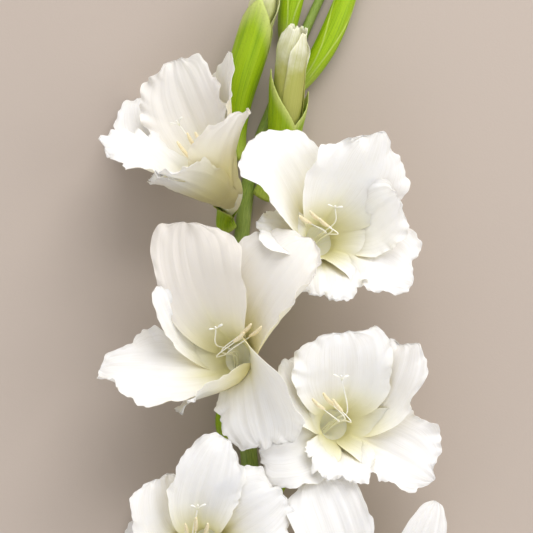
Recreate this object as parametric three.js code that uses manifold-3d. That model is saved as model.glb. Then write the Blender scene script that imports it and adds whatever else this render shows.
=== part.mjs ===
// A cut gladiolus: one flower spike laid on its back, six open florets facing up, two buds that
// show colour, green buds at the tip and a bare stem with two clasping leaves.
// Millimetres. +Y runs from the cut end to the tip, +Z up from the surface that the spike lies on.
import * as THREE from "three";
import { mergeVertices } from "three/addons/utils/BufferGeometryUtils.js";
import Module from "manifold-3d";

const wasm = await Module();
wasm.setup();

// ---------------------------------------------------------------- driving dimensions

const GAP = 0.35; // air between pieces that touch
const FACET_ROOM = 0.5; // more air where a sleeve follows a curved tube, for the flats of both
const TRIM_TOLERANCE = 0.2; // how far a trimmed edge may be straightened
const JOIN_TOLERANCE = 0.04; // the same for pieces joined into one

const STEM = {
  bareLength: 184, // from the cut end to the lowest floret, along Y
  cutRadius: 6.6, // at the cut end
  floretRadius: 4.6, // where the florets sit
  tipRadius: 1.8,
};

const TUBE = {
  ovaryRadius: 4.4,
  neckRadius: 3.7,
  throatRadius: 11.5,
  wall: 1.2,
  cupDepth: 0.55, // share of the tube that is hollow, from the throat down
  baseAngle: 38, // degrees between the stem and a tube where it leaves it
};

const TEPAL = {
  size: 1, // against the tips and widths listed for each floret
  thickness: 0.8,
  whorlStep: 1.5, // how far the inner whorl sits inside the outer one at the throat
  innerLean: 22, // degrees from the floret's axis at the throat
  outerLean: 34,
  baseSpan: 62, // degrees of the throat that half a tepal covers
};

const STAMEN = {
  filamentRadius: 0.55,
  kneeHeight: 17, // above the throat, where the filaments bend to their anthers
  antherRadius: 1.15,
  antherLength: 13,
  spread: 26, // degrees between neighbouring stamens
  styleRadius: 0.5,
  stigmaLength: 7,
};

const SPATHE = {
  thickness: 0.8,
  outerShare: 0.86, // of its floret's tube
  innerShare: 0.62,
};

const ROWS = 6; // cells along a tepal
const COLUMNS = 4; // cells across a tepal

// ---------------------------------------------------------------- small helpers

const v3 = (a) => new THREE.Vector3(...a);
const degrees = THREE.MathUtils.degToRad;
const mix = (a, b, t) => a + (b - a) * t;
const smooth = (t) => {
  const c = Math.min(1, Math.max(0, t));
  return c * c * (3 - 2 * c);
};
const along = (from, direction, distance) => from.clone().addScaledVector(direction, distance);

// The direction's part square to the axis, at unit length.
function squareTo(axis, direction) {
  return direction.clone().addScaledVector(axis, -direction.dot(axis)).normalize();
}

// Points, tangents and non-twisting side vectors at the given shares of a curve's length.
function framesOn(curve, shares, firstSide) {
  let side = firstSide;
  return shares.map((t) => {
    const tangent = curve.getTangent(t);
    side = squareTo(tangent, side);
    return { t, point: curve.getPoint(t), tangent, side, inward: side.clone().cross(tangent) };
  });
}

const evenly = (count) => Array.from({ length: count + 1 }, (_, i) => i / count);

// A closed skin over rings of equal length. Without wrap, a fan closes each end.
function loft(rings, wrap = false) {
  const sides = rings[0].length;
  const points = rings.flat();
  const faces = [];
  const at = (ring, side) => (ring % rings.length) * sides + (side % sides);
  const last = wrap ? rings.length : rings.length - 1;
  for (let i = 0; i < last; i++) {
    for (let j = 0; j < sides; j++) {
      faces.push(at(i, j), at(i, j + 1), at(i + 1, j + 1));
      faces.push(at(i, j), at(i + 1, j + 1), at(i + 1, j));
    }
  }
  if (!wrap) {
    const centreOf = (ring) =>
      ring.reduce((sum, p) => sum.add(p), new THREE.Vector3()).divideScalar(sides);
    const first = points.push(centreOf(rings[0])) - 1;
    const end = points.push(centreOf(rings.at(-1))) - 1;
    for (let j = 0; j < sides; j++) {
      faces.push(first, at(0, j + 1), at(0, j));
      faces.push(end, at(rings.length - 1, j), at(rings.length - 1, j + 1));
    }
  }
  return geometryOf(points, faces);
}

function geometryOf(points, faces) {
  const geometry = new THREE.BufferGeometry().setFromPoints(points).setIndex(faces);
  geometry.computeVertexNormals();
  return geometry;
}

// A ring of points around a frame. radiusAt takes the angle from the frame's side vector.
function ringOn(frame, radiusAt, sides) {
  return Array.from({ length: sides }, (_, j) => {
    const angle = (j / sides) * 2 * Math.PI;
    const outward = frame.side
      .clone()
      .multiplyScalar(Math.cos(angle))
      .addScaledVector(frame.inward, -Math.sin(angle));
    return along(frame.point, outward, radiusAt(angle));
  });
}

// A rod of changing round section along a curve.
function rod(curve, radiusAt, steps, sides) {
  const start = squareTo(curve.getTangent(0), new THREE.Vector3(0.31, 0.2, 1));
  const frames = framesOn(curve, evenly(steps), start);
  return loft(frames.map((f) => ringOn(f, () => radiusAt(f.t), sides)));
}

// A closed sheet of even thickness over rows of { point, normal }.
function sheet(rows, thickness) {
  const columns = rows[0].length;
  const face = (offset) => rows.flat().map((v) => along(v.point, v.normal, offset));
  const points = [...face(thickness / 2), ...face(-thickness / 2)];
  const back = rows.length * columns;
  const faces = [];
  const quad = (a, b, c, d) => faces.push(a, b, c, a, c, d);
  for (let i = 0; i < rows.length - 1; i++) {
    for (let j = 0; j < columns - 1; j++) {
      const [a, b] = [i * columns + j, i * columns + j + 1];
      const [d, c] = [a + columns, b + columns];
      quad(a, b, c, d);
      quad(back + a, back + d, back + c, back + b);
    }
    const [left, right] = [i * columns, (i + 1) * columns - 1];
    quad(back + left, left, left + columns, back + left + columns);
    quad(right, back + right, back + right + columns, right + columns);
  }
  for (let j = 0; j < columns - 1; j++) {
    const end = (rows.length - 1) * columns + j;
    quad(j + 1, j, back + j, back + j + 1);
    quad(end, end + 1, back + end + 1, back + end);
  }
  return geometryOf(points, faces);
}

// three.js geometry to a manifold-3d solid, and back.
function solidOf(geometry) {
  const bare = new THREE.BufferGeometry()
    .setAttribute("position", geometry.getAttribute("position"))
    .setIndex(geometry.index);
  const merged = mergeVertices(bare, 1e-4);
  return new wasm.Manifold(
    new wasm.Mesh({
      numProp: 3,
      vertProperties: new Float32Array(merged.attributes.position.array),
      triVerts: new Uint32Array(merged.index.array),
    }),
  );
}

const largestOf = (solid) => solid.decompose().sort((a, b) => b.volume() - a.volume())[0];

function geometryFrom(solid) {
  const mesh = solid.getMesh();
  const geometry = new THREE.BufferGeometry()
    .setAttribute("position", new THREE.BufferAttribute(mesh.vertProperties, mesh.numProp))
    .setIndex(new THREE.BufferAttribute(mesh.triVerts, 1));
  geometry.computeVertexNormals();
  return geometry;
}

// One body. Sealed pockets between the pieces are left out of it.
function joined(geometries) {
  const whole = geometries.map(solidOf).reduce((all, next) => all.add(next));
  return geometryFrom(largestOf(whole.simplify(JOIN_TOLERANCE)));
}

// A sheet's rows with its four edges moved out by a distance.
function widened(rows, distance) {
  const pushed = (from, to) => ({
    point: along(to.point, to.point.clone().sub(from.point).normalize(), distance),
    normal: to.normal,
  });
  const wide = rows.map((row) => [
    pushed(row[1], row[0]),
    ...row.slice(1, -1),
    pushed(row.at(-2), row.at(-1)),
  ]);
  const first = wide[0].map((v, j) => pushed(wide[1][j], v));
  const last = wide.at(-1).map((v, j) => pushed(wide.at(-2)[j], v));
  return [first, ...wide.slice(1, -1), last];
}

// Soft pieces already in place. A new one gives way to them and keeps its largest part.
const settled = [];

function givingWay(rows, thickness) {
  let solid = solidOf(sheet(rows, thickness));
  for (const { room } of settled) {
    const cut = solid.subtract(room);
    if (solid.volume() - cut.volume() < 1e-3) continue;
    solid = largestOf(cut).simplify(TRIM_TOLERANCE);
  }
  settled.push({ room: solidOf(sheet(widened(rows, GAP), thickness + 2 * GAP)) });
  return geometryFrom(solid);
}

// ---------------------------------------------------------------- materials

const finish = (color, roughness) =>
  new THREE.MeshStandardMaterial({ color, roughness, metalness: 0, side: THREE.DoubleSide });
const MATERIALS = {
  petal: finish(0xf6f3ec, 0.55),
  throat: finish(0xcfc98e, 0.5),
  spathe: finish(0x86ac14, 0.45),
  stem: finish(0x7f9a2e, 0.5),
  leaf: finish(0x5f8a1e, 0.5),
};

const spike = new THREE.Group();

function addPiece(name, geometry, material) {
  const mesh = new THREE.Mesh(geometry, material);
  mesh.name = name;
  spike.add(mesh);
}

// ---------------------------------------------------------------- stem

function stemRadius(share) {
  const florets = 0.55;
  return share < florets
    ? mix(STEM.cutRadius, STEM.floretRadius, share / florets)
    : mix(STEM.floretRadius, STEM.tipRadius, (share - florets) / (1 - florets));
}

// The stem lies on the surface from its cut end to its tip, and leans right where the buds are.
const LOWEST_FLORET_Y = -256;
const CUT_Y = LOWEST_FLORET_Y - STEM.bareLength;
const STEM_COURSE = [
  [6, CUT_Y],
  [4, mix(CUT_Y, LOWEST_FLORET_Y, 0.6)],
  [0, -235],
  [-5, -150],
  [-13, -60],
  [-13, 10],
  [-6, 62],
  [9, 104],
  [27, 146],
  [46, 190],
  [57, 235],
];
const TIP_Y = STEM_COURSE.at(-1)[1];
const stemLine = new THREE.CatmullRomCurve3(
  STEM_COURSE.map(([x, y]) => new THREE.Vector3(x, y, stemRadius((y - CUT_Y) / (TIP_Y - CUT_Y)))),
);
const STEM_LENGTH = stemLine.getLength();
const stemShare = (rise) => (STEM.bareLength + rise) / STEM_LENGTH;

addPiece("stem", rod(stemLine, stemRadius, 26, 8), MATERIALS.stem);

// ---------------------------------------------------------------- floret frames

// Where a floret or bud leaves the stem: its base stands off the stem by the spathe and the gaps.
// Its rise is its distance along the stem from the lowest floret.
function baseOn(rise, outward, angle, radius) {
  const share = stemShare(rise);
  const centre = stemLine.getPointAt(share);
  const stem = stemLine.getTangentAt(share);
  const out = squareTo(stem, v3(outward));
  const room = SPATHE.thickness + 2 * GAP + 2 * FACET_ROOM;
  const lean = degrees(angle);
  const offset = stemRadius(share) + room / Math.cos(lean) + radius * Math.cos(lean);
  return {
    point: along(centre, out, offset),
    direction: stem.clone().multiplyScalar(Math.cos(lean)).addScaledVector(out, Math.sin(lean)),
    out,
  };
}

// The curve that a floret's tube or a bud follows.
function tubeLine(base, throat, facing, bend = 0.42) {
  const reach = base.point.distanceTo(throat) * bend;
  return new THREE.CubicBezierCurve3(
    base.point,
    along(base.point, base.direction, reach),
    along(throat, facing, -reach),
    throat,
  );
}

// ---------------------------------------------------------------- tepals

// Half the width of a tepal along its length: wide past the middle, closing to the tip.
function halfWidth(t, base, half, blunt) {
  const widest = 0.55;
  if (t < widest) return mix(base, half, Math.sin((t / widest) * (Math.PI / 2)) ** 0.85);
  const closing = (t - widest) / (1 - widest);
  return half * Math.max(0.09, Math.sqrt(1 - closing ** blunt));
}

// The bend of half a section, in radians: the throat's circle at the base, cup in the middle and
// flare at the tip.
function sectionBend(t, cup, flare) {
  const [joined, middle] = [0.2, 0.6];
  const throat = degrees(TEPAL.baseSpan);
  if (t < middle) return mix(throat, cup, smooth((t - joined) / (middle - joined)));
  return mix(cup, flare, smooth((t - middle) / (1 - middle)));
}

// Rows of points over a tepal. Its tip is given from the throat's centre.
function tepalRows(floret, slot, shape) {
  const { throat, facing, dorsal, right } = floret;
  const { tip, lift = 0.42, curl = 20, half = 25, cup = 0.45, flare = -0.15 } = shape;
  const { twist = 0, blunt = 2.4, rollLeft = 0, rollRight = 0 } = shape;
  const sides = (Array.isArray(half) ? half : [half, half]).map((w) => w * TEPAL.size);
  const inner = slot % 2 === 0;
  const angle = degrees(slot * 60);
  const outward = dorsal.clone().multiplyScalar(Math.cos(angle)).addScaledVector(right, Math.sin(angle));
  const across = right.clone().multiplyScalar(Math.cos(angle)).addScaledVector(dorsal, -Math.sin(angle));
  const radius = TUBE.throatRadius - (inner ? TEPAL.whorlStep : 0);
  const lean = degrees(inner ? TEPAL.innerLean : TEPAL.outerLean);
  const start = along(along(throat, outward, radius), facing, GAP);
  const first = facing.clone().multiplyScalar(Math.cos(lean)).addScaledVector(outward, Math.sin(lean));
  const end = along(throat, v3(tip), TEPAL.size);
  const reach = start.distanceTo(end);
  const shoulder = along(start, first, reach * lift);
  const closing = end.clone().sub(shoulder).normalize();
  const hinge = across.clone();
  const away = closing.clone().cross(hinge).normalize();
  const last = closing.clone().multiplyScalar(Math.cos(degrees(curl)))
    .addScaledVector(away, Math.sin(degrees(curl)));
  const line = new THREE.CubicBezierCurve3(start, shoulder, along(end, last, -reach * 0.3), end);
  const shares = evenly(ROWS).map((t) => 1 - (1 - t) ** 1.25);
  return framesOn(line, shares, across).map((frame) => {
    const side = frame.side.clone().applyAxisAngle(frame.tangent, degrees(twist) * frame.t);
    const inward = side.clone().cross(frame.tangent);
    const widths = sides.map((w) => halfWidth(frame.t, radius * degrees(TEPAL.baseSpan), w, blunt));
    const bend = sectionBend(frame.t, cup, flare);
    const rolls = smooth((frame.t - 0.15) / 0.4);
    return sectionPoints(frame.point, side, inward, widths, bend, [rollLeft * rolls, rollRight * rolls]);
  });
}

// Points across one section, from the left edge to the right edge.
function sectionPoints(point, side, inward, widths, bend, rolls) {
  const cells = COLUMNS / 2;
  const fine = 4; // steps within a cell
  const half = (sign, width, roll) => {
    const points = [];
    const here = point.clone();
    for (let k = 0; k < cells * fine; k++) {
      const u = (k + 0.5) / (cells * fine);
      const heading = bend * u + roll * smooth((u - 0.35) / 0.65);
      here.addScaledVector(side, (sign * Math.cos(heading) * width) / (cells * fine));
      here.addScaledVector(inward, (Math.sin(heading) * width) / (cells * fine));
      if ((k + 1) % fine) continue;
      const normal = inward.clone().multiplyScalar(Math.cos(heading))
        .addScaledVector(side, -sign * Math.sin(heading));
      points.push({ point: here.clone(), normal });
    }
    return points;
  };
  const left = half(-1, widths[0], rolls[0]).reverse();
  return [...left, { point, normal: inward }, ...half(1, widths[1], rolls[1])];
}

// Slots run clockwise from the dorsal tepal; even slots are the inner whorl.
const SLOTS = { dorsal: 0, right_upper: 1, right_lower: 2, lip: 3, left_lower: 4, left_upper: 5 };

// ---------------------------------------------------------------- floret core: tube, stamens, style

function tubeRadius(share) {
  if (share < 0.28) {
    return mix(TUBE.ovaryRadius, TUBE.neckRadius, smooth(share / 0.28));
  }
  return mix(TUBE.neckRadius, TUBE.throatRadius, ((share - 0.28) / 0.72) ** 1.5);
}

function floretCore(floret) {
  const { line, facing, dorsal, right, throat, stamens, stigma } = floret;
  const sides = 10;
  const frames = framesOn(line, evenly(8), dorsal);
  const shell = frames.map((f) => ringOn(f, () => tubeRadius(f.t), sides));
  const hollow = frames
    .filter((f) => f.t > 1 - TUBE.cupDepth)
    .reverse()
    .map((f) => ringOn(f, () => tubeRadius(f.t) - TUBE.wall, sides));
  const cup = loft([...shell, ...hollow]);
  const root = line.getPoint(1 - TUBE.cupDepth - 0.08);
  const place = (across, up, out) =>
    along(along(along(throat, right, across), dorsal, up), facing, out);
  const pieces = [cup];
  for (const k of [-1, 0, 1]) {
    const lean = Math.sin(degrees(STAMEN.spread * k));
    const neck = place(3 * lean, 0.5 + 2 * Math.abs(k), 0);
    const knee = place(9 * lean, 4 - 2 * Math.abs(k), STAMEN.kneeHeight);
    const head = along(along(throat.clone().add(stamens), right, 13 * lean), dorsal, -3 * Math.abs(k));
    const out = head.clone().sub(knee).normalize();
    const filament = new THREE.CatmullRomCurve3([along(root, right, 1.7 * k), neck, knee, head]);
    pieces.push(rod(filament, () => STAMEN.filamentRadius, 4, 4));
    const held = 3; // of the anther that lies back along its filament
    const ends = [-held, STAMEN.antherLength - held].map((reach) => along(head, out, reach));
    const anther = new THREE.LineCurve3(...ends);
    const plump = (t) => STAMEN.antherRadius * Math.sqrt(Math.sin(Math.PI * mix(0.06, 0.94, t)));
    pieces.push(rod(anther, plump, 2, 4));
  }
  const crown = throat.clone().add(stigma);
  const style = new THREE.CatmullRomCurve3([
    along(root, dorsal, -1.8),
    place(0, 3.5, 2),
    place(0, 8, STAMEN.kneeHeight * 1.2),
    crown,
  ]);
  const styleSteps = 5;
  pieces.push(rod(style, () => STAMEN.styleRadius, styleSteps, 4));
  const fork = crown.clone().lerp(style.getPoint(1 - 1 / styleSteps), 0.15);
  const onward = style.getTangent(1);
  for (const k of [-1, 0, 1]) {
    const armEnd = along(
      along(crown, right, k * STAMEN.stigmaLength * 0.7),
      onward,
      STAMEN.stigmaLength * 0.6,
    );
    pieces.push(rod(new THREE.LineCurve3(fork, armEnd), (t) => mix(STAMEN.styleRadius, 0.95, t), 1, 4));
  }
  return joined(pieces);
}

// ---------------------------------------------------------------- spathe: the two green bracts

// One sleeve around a tube, cut by deep notches into an outer valve and a shorter inner valve.
function spathe(line, outward, radiusAt, outerShare, innerShare) {
  const length = line.getLength();
  const [outerLength, innerLength] = [length * outerShare, length * innerShare];
  const columns = 12;
  const rows = 5;
  const notch = degrees(108);
  const collar = 4;
  const reachAt = (angle) => {
    const away = Math.min(angle, 2 * Math.PI - angle);
    if (away < notch) return mix(collar, outerLength, (1 - away / notch) ** 0.62);
    return mix(collar, innerLength, ((away - notch) / (Math.PI - notch)) ** 0.62);
  };
  const first = squareTo(line.getTangent(0), outward);
  const steps = 60;
  const dense = framesOn(line, evenly(steps), first);
  const pointAt = (angle, height, offset) => {
    const share = Math.min(1, height / length);
    const f = dense[Math.round(share * steps)];
    const out = f.side.clone().multiplyScalar(Math.cos(angle)).addScaledVector(f.inward, -Math.sin(angle));
    return along(f.point, out, (radiusAt(f.t) + GAP + FACET_ROOM) / Math.cos(Math.PI / columns) + offset);
  };
  const ring = (i, offset) =>
    Array.from({ length: columns }, (_, j) => {
      const angle = (j / columns) * 2 * Math.PI;
      return pointAt(angle, mix(0.4, reachAt(angle), i / rows), offset);
    });
  const outside = evenly(rows).map((_, i) => ring(i, SPATHE.thickness));
  const inside = evenly(rows).map((_, i) => ring(i, 0)).reverse();
  return loft([...outside, ...inside], true);
}

// ---------------------------------------------------------------- the six open florets

// Each floret: its rise, the way it leaves the stem, its throat, the way it faces,
// the roll of its dorsal tepal, and the ends of its stamens, style and tepals from the throat.
const FLORETS = [
  {
    rise: 278, outward: [-0.75, 0, 0.5], throat: [-23, 46, 34], facing: [-0.6, 0.62, 0.5], roll: -30,
    stamens: [-17, 25, 9], stigma: [-26, 38, 13],
    tepals: {
      dorsal: { tip: [-30, 77, 2], half: 29, cup: 0.5, curl: 15 },
      right_upper: { tip: [4, 80, 24], half: [24, 16], cup: 0.7, curl: 10 },
      right_lower: { tip: [12, 44, 40], half: 30, cup: 0.8, flare: 0.4, curl: 5 },
      lip: { tip: [-40, 8, 36], half: 24, cup: 0.6, twist: -25 },
      left_lower: { tip: [-70, 26, 22], half: 26, curl: 35, cup: 0.4, twist: -25 },
      left_upper: { tip: [-50, 58, -33.6], half: 26, curl: 20, cup: 0.2, flare: 0 },
    },
  },
  {
    rise: 228, outward: [0.8, 0, 0.5], throat: [35, 16, 38], facing: [0.38, 0.12, 0.92], roll: 8,
    stamens: [-2, 12, 29], stigma: [8, 18, 38],
    tepals: {
      dorsal: { tip: [30, 59, 38], half: [36, 30], cup: 0.5, blunt: 3.4 },
      right_upper: { tip: [44, 26, 32], half: 26, cup: 0.4 },
      right_lower: { tip: [52, -24, 22], half: [27, 20] },
      lip: { tip: [1, -34, 34], half: 24, curl: 35, twist: 20 },
      left_lower: { tip: [-37, 8, 36], half: 19 },
      left_upper: { tip: [-38, 60, 34], half: [16, 27], cup: 0.9, blunt: 4 },
    },
  },
  {
    rise: 152, outward: [-0.8, 0, 0.5], throat: [-15, -55, 38], facing: [-0.48, 0.03, 0.88], roll: -18,
    stamens: [4, 16, 34], stigma: [-12, 18, 38],
    tepals: {
      dorsal: { tip: [-30, 79, 34], half: [22, 36], blunt: 5 },
      right_upper: { tip: [42, 70, 44], half: [36, 24], blunt: 4, rollRight: 1.1 },
      right_lower: { tip: [20, -50, 26], half: 32, twist: -35 },
      lip: { tip: [-34, -30, 24], half: 28, curl: 35, twist: 35 },
      left_lower: { tip: [-80, -6, 14], half: [26, 22], blunt: 1.2, flare: 1.4 },
      left_upper: { tip: [-44, 44, 30], half: [13, 28], blunt: 4 },
    },
  },
  {
    rise: 114, outward: [0.8, 0, 0.5], throat: [44, -95, 38], facing: [0.3, 0.05, 0.95], roll: 5,
    stamens: [-3, 14, 27], stigma: [3, 28, 34],
    tepals: {
      dorsal: { tip: [4, 56, 36], half: [34, 27], blunt: 4 },
      right_upper: { tip: [38, 50, 28], half: [24, 25], blunt: 4 },
      right_lower: { tip: [56, -30, 18], half: [28, 18] },
      lip: { tip: [0, -30, 36], half: 22, curl: 35 },
      left_lower: { tip: [-46, -14, 24], half: 28 },
      left_upper: { tip: [-28, 40, 26], half: 24 },
    },
  },
  {
    rise: 44, outward: [-0.8, 0, 0.5], throat: [-34, -167, 38], facing: [-0.3, -0.05, 0.95], roll: -5,
    stamens: [-5, 12, 27], stigma: [-4, 24, 34],
    tepals: {
      dorsal: { tip: [11, 65, 34], half: [27, 24] },
      right_upper: { tip: [46, 34, 34], half: 28, flare: -0.6 },
      right_lower: { tip: [30, -46, 28], half: 26 },
      lip: { tip: [-16, -46, 28], half: 22, curl: 35 },
      left_lower: { tip: [-54, -8, -38], half: 24, curl: 10, flare: 0 },
      left_upper: { tip: [-27, 42, 26], half: 26 },
    },
  },
  {
    rise: 0, outward: [0.8, 0, 0.5], throat: [50, -206, 38], facing: [0.3, 0.0, 0.95], roll: 0,
    stamens: [0, 14, 27], stigma: [2, 26, 34],
    tepals: {
      dorsal: { tip: [-16, 84, 26], half: [30, 18], blunt: 4 },
      right_upper: { tip: [52, 66, 32], half: [14, 17], blunt: 1.6 },
      right_lower: { tip: [54, -28, -38], half: 26, curl: 10, flare: 0 },
      lip: { tip: [8, -46, 30], half: 22, curl: 35 },
      left_lower: { tip: [-46, -22, 30], half: 24 },
      left_upper: { tip: [-44, 40, 30], half: 25 },
    },
  },
];

FLORETS.forEach((spec, index) => {
  const facing = v3(spec.facing).normalize();
  const upward = squareTo(facing, new THREE.Vector3(0, 1, 0));
  const dorsal = upward.applyAxisAngle(facing, degrees(-spec.roll));
  const right = dorsal.clone().cross(facing);
  const throat = v3(spec.throat);
  const base = baseOn(spec.rise, spec.outward, TUBE.baseAngle, TUBE.ovaryRadius);
  const [stamens, stigma] = [v3(spec.stamens), v3(spec.stigma)];
  const line = tubeLine(base, throat, facing);
  const floret = { throat, facing, dorsal, right, line, stamens, stigma };
  const name = `floret_${index + 1}`;
  addPiece(`${name}_tube`, floretCore(floret), MATERIALS.throat);
  addPiece(
    `${name}_spathe`,
    spathe(floret.line, base.out, tubeRadius, SPATHE.outerShare, SPATHE.innerShare),
    MATERIALS.spathe,
  );
  const innerFirst = Object.keys(SLOTS).sort((a, b) => (SLOTS[a] % 2) - (SLOTS[b] % 2));
  for (const slotName of innerFirst) {
    const rows = tepalRows(floret, SLOTS[slotName], spec.tepals[slotName]);
    addPiece(`${name}_tepal_${slotName}`, givingWay(rows, TEPAL.thickness), MATERIALS.petal);
  }
});

// ---------------------------------------------------------------- buds

// A bud's tip is given from its base. Its front is the side that its outer bract covers.
const BUDS = [
  {
    name: "bud_right", rise: 300, outward: [0.85, 0, 0.5], front: [0.95, 0, 0.2],
    tip: [22.1, 103.1, 25.3], radius: 10, outer: 0.62, inner: 0.66,
  },
  {
    name: "bud_left", rise: 320, outward: [-0.85, 0, 0.35], front: [-0.35, 0, 0.9],
    tip: [19.6, 108, 18.8], radius: 9, outer: 0.9, inner: 0.8,
  },
];

for (const { name, rise, outward, front, tip, radius, outer, inner } of BUDS) {
  const base = baseOn(rise, outward, 24, TUBE.ovaryRadius);
  const line = tubeLine(base, v3(tip).add(base.point), v3(tip).normalize());
  const closing = (t) => 1 - 0.42 * smooth((t - 0.86) / 0.14);
  const width = (t) => mix(TUBE.ovaryRadius, radius, smooth(t / 0.6)) * closing(t);
  addPiece(`${name}_petals`, rod(line, width, 10, 12), MATERIALS.petal);
  addPiece(`${name}_spathe`, spathe(line, v3(front), width, outer, inner), MATERIALS.spathe);
}

const TIP_BUDS = [
  { rise: 370, outward: [0.95, 0, 0.35], tip: [48.7, 97.5, 5.6], radius: 7.2 },
  { rise: 396, outward: [-0.9, 0, 0.4], tip: [15.5, 75.3, 11.5], radius: 7.4 },
  { rise: 456, outward: [0.5, 0, 0.85], tip: [23.2, 56.5, 15.5], radius: 5.6 },
  { rise: 466, outward: [-0.9, 0, 0.4], tip: [8.4, 62.2, 10.1], radius: 4.8 },
];

TIP_BUDS.forEach(({ rise, outward, tip, radius }, index) => {
  const base = baseOn(rise, outward, 20, radius * 0.5);
  const line = tubeLine(base, v3(tip).add(base.point), v3(tip).normalize());
  const width = (t) => radius * Math.sqrt(Math.sin(Math.PI * mix(0.08, 0.985, t ** 0.8)));
  addPiece(`tip_bud_${index + 1}`, rod(line, width, 9, 10), MATERIALS.spathe);
});

// ---------------------------------------------------------------- leaves

// Each leaf: where it leaves the stem, below the lowest floret, and its course from there.
const LEAVES = [
  {
    name: "leaf_lower", rise: -174, half: 12,
    course: [[13, 0, 5], [19, 60, 4], [31, 130, 3], [46, 194, 0.2]],
  },
  {
    name: "leaf_upper", rise: -94, half: 10,
    course: [[-15, 0, 5], [-20, 40, 4], [-34, 88, 3], [-47, 124, 0.2]],
  },
];
const LEAF_FOLD = 0.9; // radians that each half of a leaf is folded up
const LEAF_THICKNESS = 0.9;

for (const { name, rise, course, half } of LEAVES) {
  const root = stemLine.getPointAt(stemShare(rise)).setZ(0);
  const line = new THREE.CatmullRomCurve3(course.map((step) => v3(step).add(root)));
  const rows = framesOn(line, evenly(9), new THREE.Vector3(1, 0, 0)).map((f) => {
    const width = half * Math.max(0.08, Math.sin(Math.PI * mix(0.22, 0.97, f.t)));
    const [aside, up] = [width * Math.cos(LEAF_FOLD), width * Math.sin(LEAF_FOLD)];
    return [-1, -0.5, 0, 0.5, 1].map((u) => ({
      point: along(along(f.point, f.side, u * aside), f.inward, Math.abs(u) * up),
      normal: f.inward,
    }));
  });
  addPiece(name, sheet(rows, LEAF_THICKNESS), MATERIALS.leaf);
}

// ---------------------------------------------------------------- rest on the surface

// The frame's origin is under the middle of the spike, on the surface.
const box = new THREE.Box3().setFromObject(spike, true);
const middle = box.getCenter(new THREE.Vector3());
spike.position.set(-middle.x, -middle.y, -box.min.z);

export default spike;
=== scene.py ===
import math
from random import Random

import bpy
import numpy as np
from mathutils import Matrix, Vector
from mathutils.bvhtree import BVHTree
from mathutils.interpolate import poly_3d_calc


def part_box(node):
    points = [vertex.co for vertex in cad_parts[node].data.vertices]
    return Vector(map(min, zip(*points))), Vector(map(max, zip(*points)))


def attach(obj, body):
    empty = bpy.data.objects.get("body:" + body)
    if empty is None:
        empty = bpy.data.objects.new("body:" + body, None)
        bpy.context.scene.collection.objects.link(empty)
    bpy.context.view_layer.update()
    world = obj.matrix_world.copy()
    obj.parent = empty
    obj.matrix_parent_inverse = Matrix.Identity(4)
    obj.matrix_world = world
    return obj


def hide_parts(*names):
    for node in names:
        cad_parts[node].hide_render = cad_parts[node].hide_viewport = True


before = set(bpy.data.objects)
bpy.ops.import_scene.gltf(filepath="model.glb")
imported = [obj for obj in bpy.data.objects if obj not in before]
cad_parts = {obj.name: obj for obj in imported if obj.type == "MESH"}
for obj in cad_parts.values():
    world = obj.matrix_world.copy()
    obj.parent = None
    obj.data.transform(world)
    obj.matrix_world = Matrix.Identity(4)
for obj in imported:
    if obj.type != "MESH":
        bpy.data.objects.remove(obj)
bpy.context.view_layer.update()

# ---- dimensions, in the design's millimetres

MM = 0.001
GAP = 0.35
AIR = 0.1  # between two tepals that touch

STEM_BARE_LENGTH = 184
STEM_CUT_RADIUS = 6.6
STEM_FLORET_RADIUS = 4.6
STEM_TIP_RADIUS = 1.8
LOWEST_FLORET_Y = -256
CUT_Y = LOWEST_FLORET_Y - STEM_BARE_LENGTH

OVARY_RADIUS = 4.4
NECK_RADIUS = 3.7
THROAT_RADIUS = 11.5
NECK_SHARE = 0.28  # of a tube, where it is narrowest
TUBE_BASE_ANGLE = 38
BUD_BASE_ANGLE = 24
TIP_BUD_BASE_ANGLE = 20
TUBE_BEND = 0.42  # of the straight distance, the reach of a tube's two end tangents
THROAT_WALL = 1.0
HOLLOW_SHARE = 0.7  # of a tube, where its hollow starts
HOLLOW_RADIUS = 3.2  # at the hollow's foot
STAMEN_ROOT = 0.37  # share of the tube where filaments and style start

WHORL_STEP = 1.5  # between the inner and the outer three tepals, at the throat
INNER_LEAN = 22  # degrees outwards at the throat
OUTER_LEAN = 34
BASE_SPAN = 62  # degrees of the throat that half a tepal's foot covers

SPATHE_THICKNESS = 0.8
FACET_ROOM = 0.5
FLORET_BRACTS = dict(outer=0.86, inner=0.62, fullness=0.5, loose=0, collar=4)

KNEE_HEIGHT = 17  # above the throat, where the filaments bend to their anthers
ANTHER_LENGTH = 13
STAMEN_SPREAD = 26
STIGMA_LENGTH = 7
STIGMA_FLATNESS = 0.45

SHOULDER = 0.42  # how far a tepal keeps its first direction, as a share of its reach
TIP_PULL = 0.3  # the same for its last direction
TIP_CROWDING = 1.25  # how much closer together the rows are at the tip
TEPAL_ROWS = 64
TEPAL_CELLS = 28  # across each half of a tepal
ROOT_ROWS = 8  # rows that run down into the tube
ROOT_STEP = 0.024  # share of the tube between two of them
TEPAL_THICKNESS = 0.5
SHORT_TURN = 6.28  # just under a full turn, for random wave starts
CREASE_ANGLE = 60  # degrees between two faces from which the edge between them is sharp

# ---- vectors and curves


def vec(*values):
    return np.array(values, float)


def unit(v):
    return v / np.linalg.norm(v)


def mix(a, b, t):
    return a + (b - a) * t


def smooth(t):
    c = np.clip(t, 0.0, 1.0)
    return c * c * (3 - 2 * c)


def square_to(axis, direction):
    return unit(direction - axis * np.dot(direction, axis))


def around(sides):
    """Angles once around, one for each side."""
    return np.arange(sides) / sides * 2 * math.pi


def phases_of(seed, count, turn=SHORT_TURN):
    """Seeded random starts for a piece's waves."""
    chance = Random(seed)
    return [chance.uniform(0, turn) for _ in range(count)]


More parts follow.
